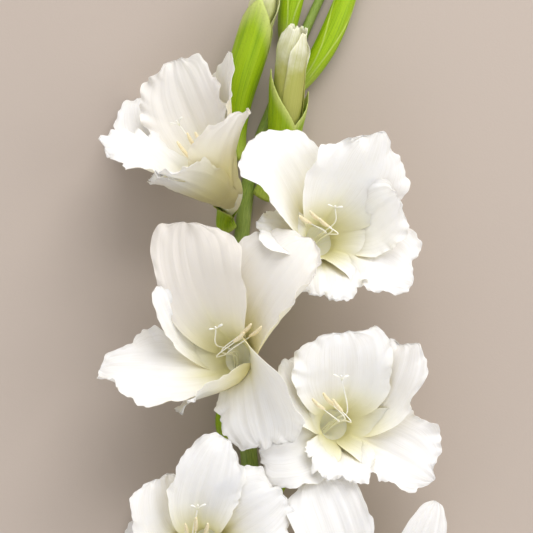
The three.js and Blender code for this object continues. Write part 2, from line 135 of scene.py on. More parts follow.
def turned(v, axis, angle):
    return (
        v * math.cos(angle)
        + np.cross(axis, v) * math.sin(angle)
        + axis * np.dot(axis, v) * (1 - math.cos(angle))
    )


class Curve:
    """A space curve with its length measured in 200 steps."""

    STEPS = 200

    def __init__(self, point):
        self.point = point
        self.shares = np.linspace(0, 1, self.STEPS + 1)
        spots = np.array([point(t) for t in self.shares])
        steps = np.linalg.norm(np.diff(spots, axis=0), axis=1)
        self.travel = np.concatenate([[0], np.cumsum(steps)])
        self.length = self.travel[-1]

    def tangent(self, t):
        low, high = max(0, t - 1e-4), min(1, t + 1e-4)
        return unit(self.point(high) - self.point(low))

    def share_at(self, distance_share):
        return np.interp(distance_share * self.length, self.travel, self.shares)


def bezier(a, b, c, d):
    def point(t):
        s = 1 - t
        return s**3 * a + 3 * s * s * t * b + 3 * s * t * t * c + t**3 * d

    return Curve(point)


def catmull(points):
    """A centripetal Catmull-Rom spline through the points."""
    points = [np.asarray(p, float) for p in points]
    before = 2 * points[0] - points[1]
    after = 2 * points[-1] - points[-2]
    line = [before, *points, after]
    spans = len(points) - 1

    def point(t):
        place = min(spans * t, spans - 1e-9)
        i = int(place)
        w = place - i
        p0, p1, p2, p3 = line[i : i + 4]
        d0, d1, d2 = (np.sqrt(np.linalg.norm(b - a)) for a, b in ((p0, p1), (p1, p2), (p2, p3)))
        m1 = ((p1 - p0) / d0 - (p2 - p0) / (d0 + d1) + (p2 - p1) / d1) * d1
        m2 = ((p2 - p1) / d1 - (p3 - p1) / (d1 + d2) + (p3 - p2) / d2) * d1
        return (
            p1
            + m1 * w
            + (-3 * p1 + 3 * p2 - 2 * m1 - m2) * w * w
            + (2 * p1 - 2 * p2 + m1 + m2) * w**3
        )

    return Curve(point)


def frames_on(curve, shares, first_side):
    """(share, point, tangent, side, inward) at each share, without twist."""
    side = first_side
    made = []
    for t in shares:
        tangent = curve.tangent(t)
        side = square_to(tangent, side)
        made.append((t, curve.point(t), tangent, side, np.cross(side, tangent)))
    return made


# ---- meshes


def ring_skin(rings, wrap=False):
    """Points and faces of a tube over rings of equal length, capped unless its ends meet."""
    count, sides = len(rings), len(rings[0])
    points = np.concatenate(rings)
    i = np.arange(count if wrap else count - 1)[:, None]
    j = np.arange(sides)[None, :]
    following = (i + 1) % count
    right = (j + 1) % sides
    corners = [i * sides + j, i * sides + right, following * sides + right, following * sides + j]
    faces = np.stack(corners, -1).reshape(-1, 4).tolist()
    if not wrap:
        first, last = len(points), len(points) + 1
        points = np.concatenate([points, [rings[0].mean(0)], [rings[-1].mean(0)]])
        for k in range(sides):
            after = (k + 1) % sides
            faces.append([first, after, k])
            faces.append([last, (count - 1) * sides + k, (count - 1) * sides + after])
    return points, faces


def capped(rows, ends=(0, 0)):
    """A value for each point of a capped ring_skin: a row for each ring, then the two ends."""
    return np.concatenate([*rows, ends])


def grid_quads(rows, columns):
    """Quads between neighbouring points of a grid, numbered row by row."""
    index = np.arange(rows * columns).reshape(rows, columns)
    corners = [index[:-1, :-1], index[:-1, 1:], index[1:, 1:], index[1:, :-1]]
    return np.stack(corners, -1).reshape(-1, 4)


def sheet_skin(grid, normals, thickness):
    """Points and quads of a closed sheet. The grids are rows by columns by 3."""
    rows, columns = grid.shape[:2]
    half = (thickness / 2)[..., None] * normals
    points = np.concatenate([(grid + half).reshape(-1, 3), (grid - half).reshape(-1, 3)])
    back = rows * columns
    index = np.arange(back).reshape(rows, columns)
    front = grid_quads(rows, columns)
    left, left_on = index[:-1, 0], index[1:, 0]
    right, right_on = index[:-1, -1], index[1:, -1]
    low, low_on = index[0, :-1], index[0, 1:]
    top, top_on = index[-1, :-1], index[-1, 1:]
    faces = np.concatenate(
        [
            front,
            back + front[:, [0, 3, 2, 1]],
            np.stack([back + left, left, left_on, back + left_on], 1),
            np.stack([right, back + right, back + right_on, right_on], 1),
            np.stack([low_on, low, back + low, back + low_on], 1),
            np.stack([top, top_on, back + top_on, back + top], 1),
        ]
    )
    return points, faces.tolist()


def grid_normals(grid, outward):
    """Unit normals of a grid of points, on the same side as outward."""
    down = np.gradient(grid, axis=0)
    over = np.gradient(grid, axis=1)
    normal = np.cross(over, down)
    length = np.linalg.norm(normal, axis=-1, keepdims=True)
    normal = np.where(length > 1e-9, normal / np.maximum(length, 1e-9), outward)
    facing = np.sign(np.sum(normal * outward, axis=-1, keepdims=True))
    return np.where(facing < 0, -normal, normal)


def merged(parts):
    """One part, which is (points, faces, values of each point), out of several."""
    points, faces, values = [], [], []
    start = 0
    for part_points, part_faces, part_values in parts:
        points.append(part_points)
        faces.extend([[start + k for k in face] for face in part_faces])
        values.append(part_values)
        start += len(part_points)
    names = values[0].keys()
    return np.concatenate(points), faces, {n: np.concatenate([v[n] for v in values]) for n in names}


FLOOR_REACH = 6.0  # metres from the middle to each side
FLOOR_CLEARANCE = 0.05  # millimetres over the surface that the spike lies on
row_shift = vec(0, 0, 0)  # from the design's millimetres to the frame's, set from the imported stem


def in_frame(points):
    """Design millimetres to metres in the frame, with nothing under the floor."""
    placed = points + row_shift
    placed[:, 2] = np.maximum(placed[:, 2], FLOOR_CLEARANCE)
    return placed * MM


def mesh_of(name, points, faces, values):
    mesh = bpy.data.meshes.new(name)
    mesh.from_pydata(points.tolist(), [], faces)
    for key, numbers in values.items():
        layer = mesh.attributes.new(key, "FLOAT", "POINT")
        layer.data.foreach_set("value", np.asarray(numbers, np.float32))
    mesh.shade_smooth()
    return mesh


def add_object(name, mesh):
    made = bpy.data.objects.new(name, mesh)
    bpy.context.scene.collection.objects.link(made)
    return made


def add_placed(name, part, material, slot, *nodes):
    """A finished piece from points in the frame, in place of the CAD nodes that it stands for."""
    mesh = mesh_of(name, *part)
    mesh.materials.append(material)
    made = add_object(name, mesh)
    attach(made, "root")
    if nodes:
        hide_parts(*nodes)
    return mesh


def add_piece(name, part, material, slot, *nodes):
    """A finished piece from points in the design's millimetres."""
    points, faces, values = part
    add_placed(name, (in_frame(points), faces, values), material, slot, *nodes)


# ---- materials


SUBSURFACE_RADIUS = (1.0, 0.93, 0.7)  # red, green and blue shares of the scale


class Shader:
    """A Principled material, built up node by node. Bump distance and subsurface are in metres."""

    def __init__(self, name, bump_distance, bump_strength, subsurface=(0, 0), **settings):
        self.material = bpy.data.materials.new(name)
        self.material.use_nodes = True
        self.tree = self.material.node_tree
        self.surface = self.tree.nodes["Principled BSDF"]
        settings.update(Subsurface_Weight=subsurface[0], Subsurface_Scale=subsurface[1])
        for key, value in settings.items():
            self.link(value, self.surface, key.replace("_", " "))
        self.surface.inputs["Subsurface Radius"].default_value = SUBSURFACE_RADIUS
        self.bump = self.node("Bump", Strength=bump_strength, Distance=bump_distance)
        self.link(self.bump.outputs["Normal"], self.surface, "Normal")
        self.coordinates = self.node("TexCoord").outputs["Object"]

    def node(self, kind, **inputs):
        """A new node, its inputs set to numbers and colours or linked to other nodes."""
        node = self.tree.nodes.new("ShaderNode" + kind)
        for key, source in inputs.items():
            self.link(source, node, key.replace("_", " "))
        return node

    def link(self, source, node, socket):
        if isinstance(source, (int, float)):
            node.inputs[socket].default_value = source
        elif isinstance(source, tuple):
            node.inputs[socket].default_value = (*source, 1.0)
        else:
            self.tree.links.new(source, node.inputs[socket])

    def value(self, name):
        """One of the numbers that the piece's mesh carries at each point."""
        node = self.node("Attribute")
        node.attribute_name = name
        return node.outputs["Fac"]

    def maths(self, operation, *sources):
        node = self.node("Math")
        node.operation = operation
        for socket, source in enumerate(sources):
            self.link(source, node, socket)
        return node.outputs[0]

    def scaled(self, source, factor, added=0.0):
        """The source times the factor, plus what is added."""
        return self.maths("MULTIPLY_ADD", source, factor, added)

    def ramp(self, source, low, high, start=0.0, end=1.0):
        """A smooth step of source from low..high to start..end."""
        node = self.node(
            "MapRange", Value=source, From_Min=low, From_Max=high, To_Min=start, To_Max=end
        )
        node.interpolation_type = "SMOOTHSTEP"
        return node.outputs["Result"]

    def noise(self, scale, detail=3.0, coordinates=None):
        coordinates = coordinates or self.coordinates
        return self.node("TexNoise", Scale=scale, Detail=detail, Vector=coordinates).outputs["Fac"]

    def grain(self, across_scale, along_scale, detail=3.0):
        """Noise drawn out along the piece, from its own two coordinates."""
        across = self.scaled(self.value("across"), across_scale)
        along = self.scaled(self.value("along"), along_scale)
        return self.noise(1.0, detail, self.node("CombineXYZ", X=across, Y=along).outputs["Vector"])

    def blend(self, factor, a, b):
        node = self.node("Mix")
        node.data_type = "RGBA"
        self.link(factor, node, 0)
        self.link(a, node, 6)
        self.link(b, node, 7)
        return node.outputs[2]

    def shade(self, source, low, high, first, second, start=0.0, end=1.0):
        """From the first colour to the second as the source goes from low to high."""
        return self.blend(self.ramp(source, low, high, start, end), first, second)

    def finished(self, colour, roughness, height):
        self.link(colour, self.surface, "Base Color")
        self.link(roughness, self.surface, "Roughness")
        self.link(height, self.bump, "Height")
        return self.material


def petal_material():
    shader = Shader(
        "white_petal", 0.00025, 0.45, (0.4, 0.004), Specular_IOR_Level=0.35, Sheen_Weight=0.08
    )
    along = shader.value("along")
    veins = shader.grain(46.0, 1.6, 2.0)
    pleats = shader.grain(13.0, 1.1, 2.0)
    cells = shader.noise(2600.0, 2.0)
    mottle = shader.noise(55.0, 3.0)
    throat = shader.ramp(along, 0.02, 0.55, 1.0, 0.0)
    rib = shader.ramp(shader.maths("ABSOLUTE", shader.value("across")), 0.0, 0.22, 1.0, 0.0)
    warm = shader.scaled(throat, shader.scaled(rib, 0.45, 0.55))
    warm = shader.scaled(warm, shader.ramp(mottle, 0.2, 0.75, 0.6, 1.0))
    white = shader.shade(veins, 0.42, 0.72, (0.965, 0.95, 0.915), (0.89, 0.87, 0.82))
    white = shader.shade(mottle, 0.35, 0.75, white, (0.97, 0.965, 0.95))
    # Painted shade: the number each tepal carries darkens it towards a warm grey-beige where it lies in
    # shade.
    white = shader.blend(shader.value("cream"), white, (0.84, 0.775, 0.69))
    colour = shader.blend(warm, white, (0.90, 0.88, 0.58))
    outer = shader.maths("SUBTRACT", 1.0, shader.value("inner"))
    colour = shader.shade(along, -0.12, 0.42, colour, (0.76, 0.70, 0.29), 0.9, 0.0)
    foot = shader.scaled(outer, shader.ramp(along, 0.15, 0.95, 1.0, 0.0))
    colour = shader.blend(foot, colour, (0.77, 0.69, 0.33))
    roughness = shader.scaled(cells, 0.16, 0.44)
    height = shader.scaled(veins, 0.8, shader.scaled(pleats, 0.9))
    height = shader.scaled(cells, 0.12, height)
    return shader.finished(colour, roughness, height)


def tube_material():
    shader = Shader("floret_tube", 0.0003, 0.4, (0.6, 0.004))
    lines = shader.grain(26.0, 2.0, 2.0)
    mottle = shader.noise(160.0)
    green = shader.shade(lines, 0.35, 0.7, (0.30, 0.36, 0.06), (0.47, 0.50, 0.14))
    pale = shader.shade(lines, 0.4, 0.75, (0.96, 0.95, 0.82), (0.93, 0.92, 0.70))
    along_uneven = shader.scaled(mottle, 0.12, shader.value("along"))
    colour = shader.shade(along_uneven, 0.3, 0.85, green, pale)
    roughness = shader.scaled(mottle, 0.2, 0.38)
    return shader.finished(colour, roughness, lines)


def stamen_material():
    shader = Shader("filament", 0.0001, 0.4, (0.3, 0.002))
    grain = shader.noise(1500.0)
    along = shader.value("along")
    colour = shader.shade(along, 0.1, 0.55, (0.80, 0.80, 0.58), (0.93, 0.92, 0.86))
    colour = shader.shade(grain, 0.3, 0.8, colour, (0.80, 0.76, 0.62), 0.0, 0.3)
    return shader.finished(colour, shader.scaled(grain, 0.2, 0.35), grain)


def anther_material():
    shader = Shader("anther", 0.00025, 0.8, (0.1, 0.001))
    pollen = shader.noise(4200.0, 4.0)
    patches = shader.noise(500.0, 2.0)
    colour = shader.shade(pollen, 0.35, 0.65, (0.80, 0.66, 0.38), (0.94, 0.86, 0.62))
    colour = shader.shade(patches, 0.45, 0.7, colour, (0.95, 0.90, 0.72), 0.0, 0.6)
    return shader.finished(colour, shader.scaled(pollen, 0.25, 0.65), pollen)


def bract_material():
    shader = Shader("green_bract", 0.0004, 0.5, (0.1, 0.002), Specular_IOR_Level=0.3)
    lines = shader.grain(38.0, 1.4, 3.0)
    broad = shader.grain(7.0, 1.0, 2.0)
    speckle = shader.noise(900.0)
    green = shader.shade(lines, 0.3, 0.7, (0.16, 0.30, 0.002), (0.33, 0.51, 0.004))
    green = shader.shade(broad, 0.35, 0.7, green, (0.40, 0.57, 0.012), 0.0, 0.7)
    edge = shader.ramp(shader.value("edge"), 0.82, 1.0)
    green = shader.blend(shader.scaled(edge, 0.7), green, (0.62, 0.66, 0.24))
    along = shader.value("along")
    colour = shader.shade(along, 0.0, 0.22, green, (0.45, 0.52, 0.12), 0.65, 0.0)
    colour = shader.shade(speckle, 0.5, 0.8, colour, (0.10, 0.18, 0.01), 0.0, 0.25)
    roughness = shader.scaled(speckle, 0.2, 0.3)
    height = shader.scaled(speckle, 0.15, lines)
    return shader.finished(colour, roughness, height)


def stem_material():
    shader = Shader("green_stem", 0.0004, 0.6, (0.08, 0.002))
    fibres = shader.grain(30.0, 14.0, 3.0)
    pores = shader.noise(1800.0, 2.0)
    patches = shader.noise(30.0, 3.0)
    green = shader.shade(fibres, 0.3, 0.7, (0.15, 0.25, 0.03), (0.30, 0.41, 0.07))
    green = shader.shade(patches, 0.4, 0.7, green, (0.36, 0.45, 0.12), 0.0, 0.6)
    wet = shader.shade(pores, 0.4, 0.6, (0.62, 0.66, 0.38), (0.36, 0.46, 0.16))
    colour = shader.blend(shader.value("cut"), green, wet)
    roughness = shader.scaled(patches, 0.2, 0.34)
    height = shader.scaled(pores, 0.25, fibres)
    return shader.finished(colour, roughness, height)


def leaf_material():
    shader = Shader("green_leaf", 0.0004, 0.6, (0.08, 0.002))
    veins = shader.grain(34.0, 2.0, 3.0)
    broad = shader.grain(5.0, 1.5, 2.0)
    bloom = shader.noise(300.0, 4.0)
    green = shader.shade(veins, 0.3, 0.7, (0.045, 0.13, 0.02), (0.14, 0.28, 0.05))
    green = shader.shade(broad, 0.4, 0.7, green, (0.18, 0.32, 0.08), 0.0, 0.6)
    rib = shader.ramp(shader.maths("ABSOLUTE", shader.value("across")), 0.0, 0.09, 0.6, 0.0)
    green = shader.blend(rib, green, (0.34, 0.45, 0.16))
    colour = shader.shade(bloom, 0.45, 0.8, green, (0.27, 0.38, 0.22), 0.0, 0.35)
    roughness = shader.scaled(bloom, 0.22, 0.36)
    height = shader.scaled(bloom, 0.1, veins)
    return shader.finished(colour, roughness, height)


def floor_material():
    shader = Shader("pale_floor", 0.0005, 0.1)
    wide = shader.noise(1.3, 2.0)
    fine = shader.noise(700.0, 2.0)
    colour = shader.shade(wide, 0.3, 0.7, (0.462, 0.394, 0.348), (0.491, 0.423, 0.374))
    return shader.finished(colour, shader.scaled(fine, 0.1, 0.85), fine)


PETAL = petal_material()
TUBE = tube_material()
FILAMENT = stamen_material()
ANTHER = anther_material()
BRACT = bract_material()
STEM = stem_material()
LEAF = leaf_material()
FLOOR = floor_material()

# ---- stem

CAD_STEM_STEPS = 26
CAD_STEM_SIDES = 8
ROD_SIDE = vec(0.31, 0.2, 1)  # where the corners of a rod's first ring start from
LONG_GRAIN = 8  # how far the coordinate along a stem or leaf runs
STEM_COURSE = [
    (6, CUT_Y),
    (4, mix(CUT_Y, LOWEST_FLORET_Y, 0.6)),
    (0, -235),
    (-5, -150),
    (-13, -60),
    (-13, 10),
    (-6, 62),
    (9, 104),
    (27, 146),
    (46, 190),
    (57, 235),
]
TIP_Y = STEM_COURSE[-1][1]


def stem_radius(share):
    florets = 0.55
    if share < florets:
        return mix(STEM_CUT_RADIUS, STEM_FLORET_RADIUS, share / florets)
    return mix(STEM_FLORET_RADIUS, STEM_TIP_RADIUS, (share - florets) / (1 - florets))


stem_line = catmull(
    [vec(x, y, stem_radius((y - CUT_Y) / (TIP_Y - CUT_Y))) for x, y in STEM_COURSE]
)


def stem_share(rise):
    return (STEM_BARE_LENGTH + rise) / stem_line.length


def ring_around(place, side, inward, radii, angles):
    out = np.cos(angles)[:, None] * side - np.sin(angles)[:, None] * inward
    return place + out * np.asarray(radii)[..., None]


def cad_stem_box():
    """The box of the CAD stem, an eight-sided rod, in the design's millimetres."""
    angles = around(CAD_STEM_SIDES)
    shares = np.linspace(0, 1, CAD_STEM_STEPS + 1)
    first = square_to(stem_line.tangent(0), ROD_SIDE)
    rings = [
        ring_around(place, side, inward, np.full(CAD_STEM_SIDES, stem_radius(t)), angles)
        for t, place, _, side, inward in frames_on(stem_line, shares, first)
    ]
    every = np.concatenate(rings)
    return every.min(0), every.max(0)


packed_low, packed_high = (np.array(corner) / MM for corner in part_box("stem"))
design_low, design_high = cad_stem_box()
row_shift = (packed_low + packed_high - design_low - design_high) / 2


def build_stem():
    """The stem's ridged skin, with a dished cut face at its lower end."""
    sides = 72
    angles = around(sides)
    rows = 260
    rings, across, along, cut = [], [], [], []
    phases = phases_of(3, 2)
    cap_steps = 5
    tip_share = 0.015  # of the length, rounded off
    shares = [0.0] * cap_steps + list(np.linspace(0, 1, rows))
    stations = frames_on(stem_line, shares, ROD_SIDE)
    for k, (t, place, tangent, side, inward) in enumerate(stations):
        ridges = 0.012 * np.cos(13 * angles + phases[0] + 2.2 * math.sin(9 * t))
        ridges += 0.008 * np.cos(29 * angles + phases[1]) + 0.01 * np.cos(3 * angles + 11 * t)
        radius = stem_radius(t) * (0.973 + ridges)
        face = 1.0
        centre = place
        if k < cap_steps:
            face = (k + 0.4) / cap_steps
            dish = 0.5 * (1 - face**2) + 0.12 * math.sin(9 * face)
            centre = place + tangent * dish
        tip = math.sqrt(max(0.05, 1 - max(0, (t - 1 + tip_share) / tip_share) ** 2))
        rings.append(ring_around(centre, side, inward, radius * face * tip, angles))
        across.append(angles / math.pi - 1)
        along.append(np.full(sides, t * LONG_GRAIN))
        cut.append(np.full(sides, 1.0 if k < cap_steps else 0.0))
    values = {
        "across": capped(across),
        "along": capped(along, (0, LONG_GRAIN)),
        "cut": capped(cut, (1, 0)),
    }
    add_piece("stem_skin", (*ring_skin(rings), values), STEM, "stem", "stem")


build_stem()

# ---- florets: the lines they follow


def base_on(rise, outward, angle, radius):
    """Where a floret or bud leaves the stem: (point, direction, the way out of the stem)."""
    share = stem_share(rise)
    t = stem_line.share_at(share)
    centre, stem = stem_line.point(t), stem_line.tangent(t)
    out = square_to(stem, vec(*outward))
    room = SPATHE_THICKNESS + 2 * GAP + 2 * FACET_ROOM
    lean = math.radians(angle)
    offset = stem_radius(share) + room / math.cos(lean) + radius * math.cos(lean)
    return centre + out * offset, stem * math.cos(lean) + out * math.sin(lean), out


def tube_line(point, direction, throat, facing):
    reach = np.linalg.norm(throat - point) * TUBE_BEND
    return bezier(point, point + direction * reach, throat - facing * reach, throat)


def tube_radius(share):
    if share < NECK_SHARE:
        return mix(OVARY_RADIUS, NECK_RADIUS, smooth(share / NECK_SHARE))
    return mix(NECK_RADIUS, THROAT_RADIUS, ((share - NECK_SHARE) / (1 - NECK_SHARE)) ** 1.5)


class Floret:
    """Where a floret sits, faces and ends, and what its tepals, stamens and style reach for.

    Rise is along the stem from the lowest floret. Stamens, stigma and tepal tips are measured
    from the throat. Facing runs out of the throat, and roll turns the dorsal tepal about it.
    """

    def __init__(self, number, rise, outward, throat, facing, roll, stamens, stigma, tepals):
        self.name = f"floret_{number}"
        self.number = number
        self.facing = unit(vec(*facing))
        upward = square_to(self.facing, vec(0, 1, 0))
        self.dorsal = turned(upward, self.facing, math.radians(-roll))
        self.right = np.cross(self.dorsal, self.facing)
        self.throat = vec(*throat)
        self.stamens, self.stigma = vec(*stamens), vec(*stigma)
        point, direction, self.out = base_on(rise, outward, TUBE_BASE_ANGLE, OVARY_RADIUS)
        self.line = tube_line(point, direction, self.throat, self.facing)
        self.tepals = tepals

    def place(self, across, up, out):
        """A spot measured from the throat in the floret's own directions."""
        return self.throat + self.right * across + self.dorsal * up + self.facing * out


# Each floret: number, rise, outward, throat, facing, roll, stamens, stigma and tepals.
# Half is a tepal's width to each side of its midrib, and cup and flare are how far its edges
# turn inwards lower down and at the tip. Corners are (direction, millimetres, width in degrees).
# A tepal's cream number is painted shade: how far it is darkened where it lies in shade.
FLORETS = [
    Floret(
        1, 278, (-0.75, 0, 0.5), (-23, 46, 34), (-0.6, 0.62, 0.5), -30,
        (-17, 25, 9), (-26, 38, 13),
        {
            "dorsal": dict(
                tip=(-30, 77, 2), half=29, cup=0.5, curl=15, ruffle=1.7, cream=0.5,
                corners=((-24, 3, 9), (20, 3, 9)),
            ),
            "right_upper": dict(tip=(4, 80, 24), half=(24, 16), cup=0.7, curl=10, cream=0.5),
            "right_lower": dict(tip=(12, 44, 40), half=30, cup=0.8, flare=0.4, curl=5, cream=0.6),
            "lip": dict(tip=(-40, 8, 36), half=24, cup=0.6, twist=-25, ruffle=1.8),
            "left_lower": dict(tip=(-70, 26, 22), half=26, curl=35, cup=0.4, twist=-25, ruffle=2.2),
            "left_upper": dict(tip=(-50, 58, -33.6), half=26, cup=0.2, flare=0, ruffle=1.2),
        },
    ),
    Floret(
        2, 228, (0.8, 0, 0.5), (35, 16, 38), (0.38, 0.12, 0.92), 8,
        (-2, 12, 29), (8, 18, 38),
        {
            "dorsal": dict(
                tip=(30, 59, 38), half=(36, 30), cup=0.5, blunt=3.4, ruffle=1.4,
                corners=((-36, -5, 16), (8, 4, 7), (52, 2, 9)),
            ),
            "right_upper": dict(tip=(44, 26, 32), half=26, cup=0.4),
            "right_lower": dict(
                tip=(52, -24, 22), half=(27, 20), ruffle=1.4, corners=((-40, 3, 12), (5, 3, 8)),
            ),
            "lip": dict(tip=(1, -34, 34), half=24, curl=35, twist=20, ruffle=1.5),
            "left_lower": dict(tip=(-37, 8, 36), half=19),
            "left_upper": dict(tip=(-38, 60, 34), half=27, cup=0.8, blunt=4),
        },
    ),
    Floret(
        3, 152, (-0.8, 0, 0.5), (-15, -55, 38), (-0.48, 0.03, 0.88), -18,
        (4, 16, 34), (-12, 18, 38),
        {
            "dorsal": dict(
                tip=(-30, 79, 34), half=(22, 36), blunt=5, cream=0.9,
                corners=((-18, 6, 9), (10, 2, 7), (48, -3, 20)),
            ),
            "right_upper": dict(
                tip=(42, 70, 44), half=(30, 32), blunt=2.8, roll_right=1.1, ruffle=1.5, cream=0.5,
            ),
            "right_lower": dict(tip=(17, -52, 30), half=(36, 26), twist=-55, ruffle=1.4),
            "lip": dict(tip=(-34, -30, 24), half=30, curl=35, twist=10, ruffle=1.4),
            "left_lower": dict(
                tip=(-80, -6, 14), half=(30, 27), blunt=1.3, flare=0.9, ruffle=1.5,
                corners=((-60, 5, 22), (49, 6, 15)),
            ),
            "left_upper": dict(tip=(-44, 44, 30), half=(13, 28), blunt=4),
        },
    ),
    Floret(
        4, 114, (0.8, 0, 0.5), (44, -95, 38), (0.3, 0.05, 0.95), 5,
        (-3, 14, 27), (3, 28, 34),
        {
            "dorsal": dict(
                tip=(4, 56, 36), half=(34, 27), blunt=4, ruffle=1.3, corners=((-34, 2, 9), (24, 3, 9)),
            ),
            "right_upper": dict(
                tip=(38, 50, 28), half=(24, 25), blunt=4, ruffle=1.5,
                corners=((-24, 8, 7), (12, 3, 8), (52, -4, 18)),
            ),
            "right_lower": dict(
                tip=(56, -30, 18), half=(28, 18), ruffle=1.4, corners=((-46, 3, 12), (0, 3, 8)),
            ),
            "lip": dict(tip=(0, -30, 36), half=22, curl=35, ruffle=2.0),
            "left_lower": dict(
                tip=(-46, -14, 24), half=28, ruffle=1.4, corners=((-35, 3, 10), (20, 3, 10)),
            ),
            "left_upper": dict(tip=(-28, 40, 26), half=24),
        },
    ),
    Floret(
        5, 44, (-0.8, 0, 0.5), (-34, -167, 38), (-0.3, -0.05, 0.95), -5,
        (-5, 12, 27), (-4, 24, 34),
        {
            "dorsal": dict(tip=(11, 65, 34), half=(20, 24), blunt=1.9, ruffle=1.5, corners=((0, 3, 9),)),
            "right_upper": dict(tip=(46, 34, 34), half=28, flare=-0.6, ruffle=1.6),
            "right_lower": dict(tip=(30, -46, 28), half=26),
            "lip": dict(tip=(-16, -46, 28), half=22, curl=35),
            "left_lower": dict(tip=(-54, -8, -38), half=24, curl=10, flare=0),
            "left_upper": dict(tip=(-27, 42, 26), half=26),
        },
    ),
    Floret(
        6, 0, (0.8, 0, 0.5), (50, -206, 38), (0.3, 0.0, 0.95), 0,
        (0, 14, 27), (2, 26, 34),
        {
            "dorsal": dict(tip=(-16, 84, 26), half=(30, 18), blunt=4),
            "right_upper": dict(tip=(52, 66, 32), half=(14, 17), blunt=1.6, peak=2),
            "right_lower": dict(tip=(54, -28, -38), half=26, curl=10, flare=0),
            "lip": dict(tip=(8, -46, 30), half=22, curl=35),
            "left_lower": dict(tip=(-46, -22, 30), half=24),
            "left_upper": dict(tip=(-44, 40, 30), half=25),
        },
    ),
]

SLOTS = {"dorsal": 0, "right_upper": 1, "right_lower": 2, "lip": 3, "left_lower": 4, "left_upper": 5}

# ---- tepals


def half_width(t, base, half, blunt):
    """Half a tepal's width: from its base to its widest and round to its tip."""
    widest = 0.55
    if t < widest:
        return mix(base, half, math.sin(max(0, t) / widest * math.pi / 2) ** 0.85)
    closing = (t - widest) / (1 - widest)
    return half * max(0.05, math.sqrt(1 - min(1, closing) ** blunt))


def section_bend(t, cup, flare):
    """How far a half turns inwards by its edge: round as the throat, then cupped, then flared."""
    cupped = 0.6
    if t < cupped:
        return mix(math.radians(BASE_SPAN), cup, smooth((t - 0.2) / (cupped - 0.2)))
    return mix(cup, flare, smooth((t - cupped) / (1 - cupped)))


def tepal_frames(floret, slot, tip, curl, twist):
    """Rows of (t, point, side, inward) along a tepal, from its root inside the tube to its tip."""
    inner = slot % 2 == 0
    angle = math.radians(slot * 60)
    outward = floret.dorsal * math.cos(angle) + floret.right * math.sin(angle)
    across = floret.right * math.cos(angle) - floret.dorsal * math.sin(angle)
    radius = THROAT_RADIUS - (WHORL_STEP if inner else 0)
    lean = math.radians(INNER_LEAN if inner else OUTER_LEAN)
    start = floret.throat + outward * radius + floret.facing * GAP
    first = floret.facing * math.cos(lean) + outward * math.sin(lean)
    end = floret.throat + vec(*tip)
    reach = np.linalg.norm(end - start)
    shoulder = start + first * reach * SHOULDER
    closing = unit(end - shoulder)
    away = unit(np.cross(closing, across))
    last = closing * math.cos(math.radians(curl)) + away * math.sin(math.radians(curl))
    line = bezier(start, shoulder, end - last * reach * TIP_PULL, end)
    shares = 1 - (1 - np.linspace(0, 1, TEPAL_ROWS + 1)) ** TIP_CROWDING
    rows = []
    for t, point, tangent, side, _ in frames_on(line, shares, across):
        side = turned(side, tangent, math.radians(twist) * t)
        rows.append((t, point, side, np.cross(side, tangent)))
    # The root: on the funnel of the tube, inside its wall or outside it.
    roots = []
    out_side, side = outward, across
    for k in range(1, ROOT_ROWS + 1):
        share = 1 - ROOT_STEP * k
        tangent = floret.line.tangent(share)
        out_side = square_to(tangent, out_side)
        side = square_to(tangent, side)
        offset = (-WHORL_STEP + 0.25) if inner else 0.32 - 0.04 * k
        place = floret.line.point(share) + out_side * (tube_radius(share) + offset)
        roots.append((-0.02 * k, place, side, np.cross(side, tangent)))
    return roots[::-1] + rows, radius, np.linalg.norm(end - start)


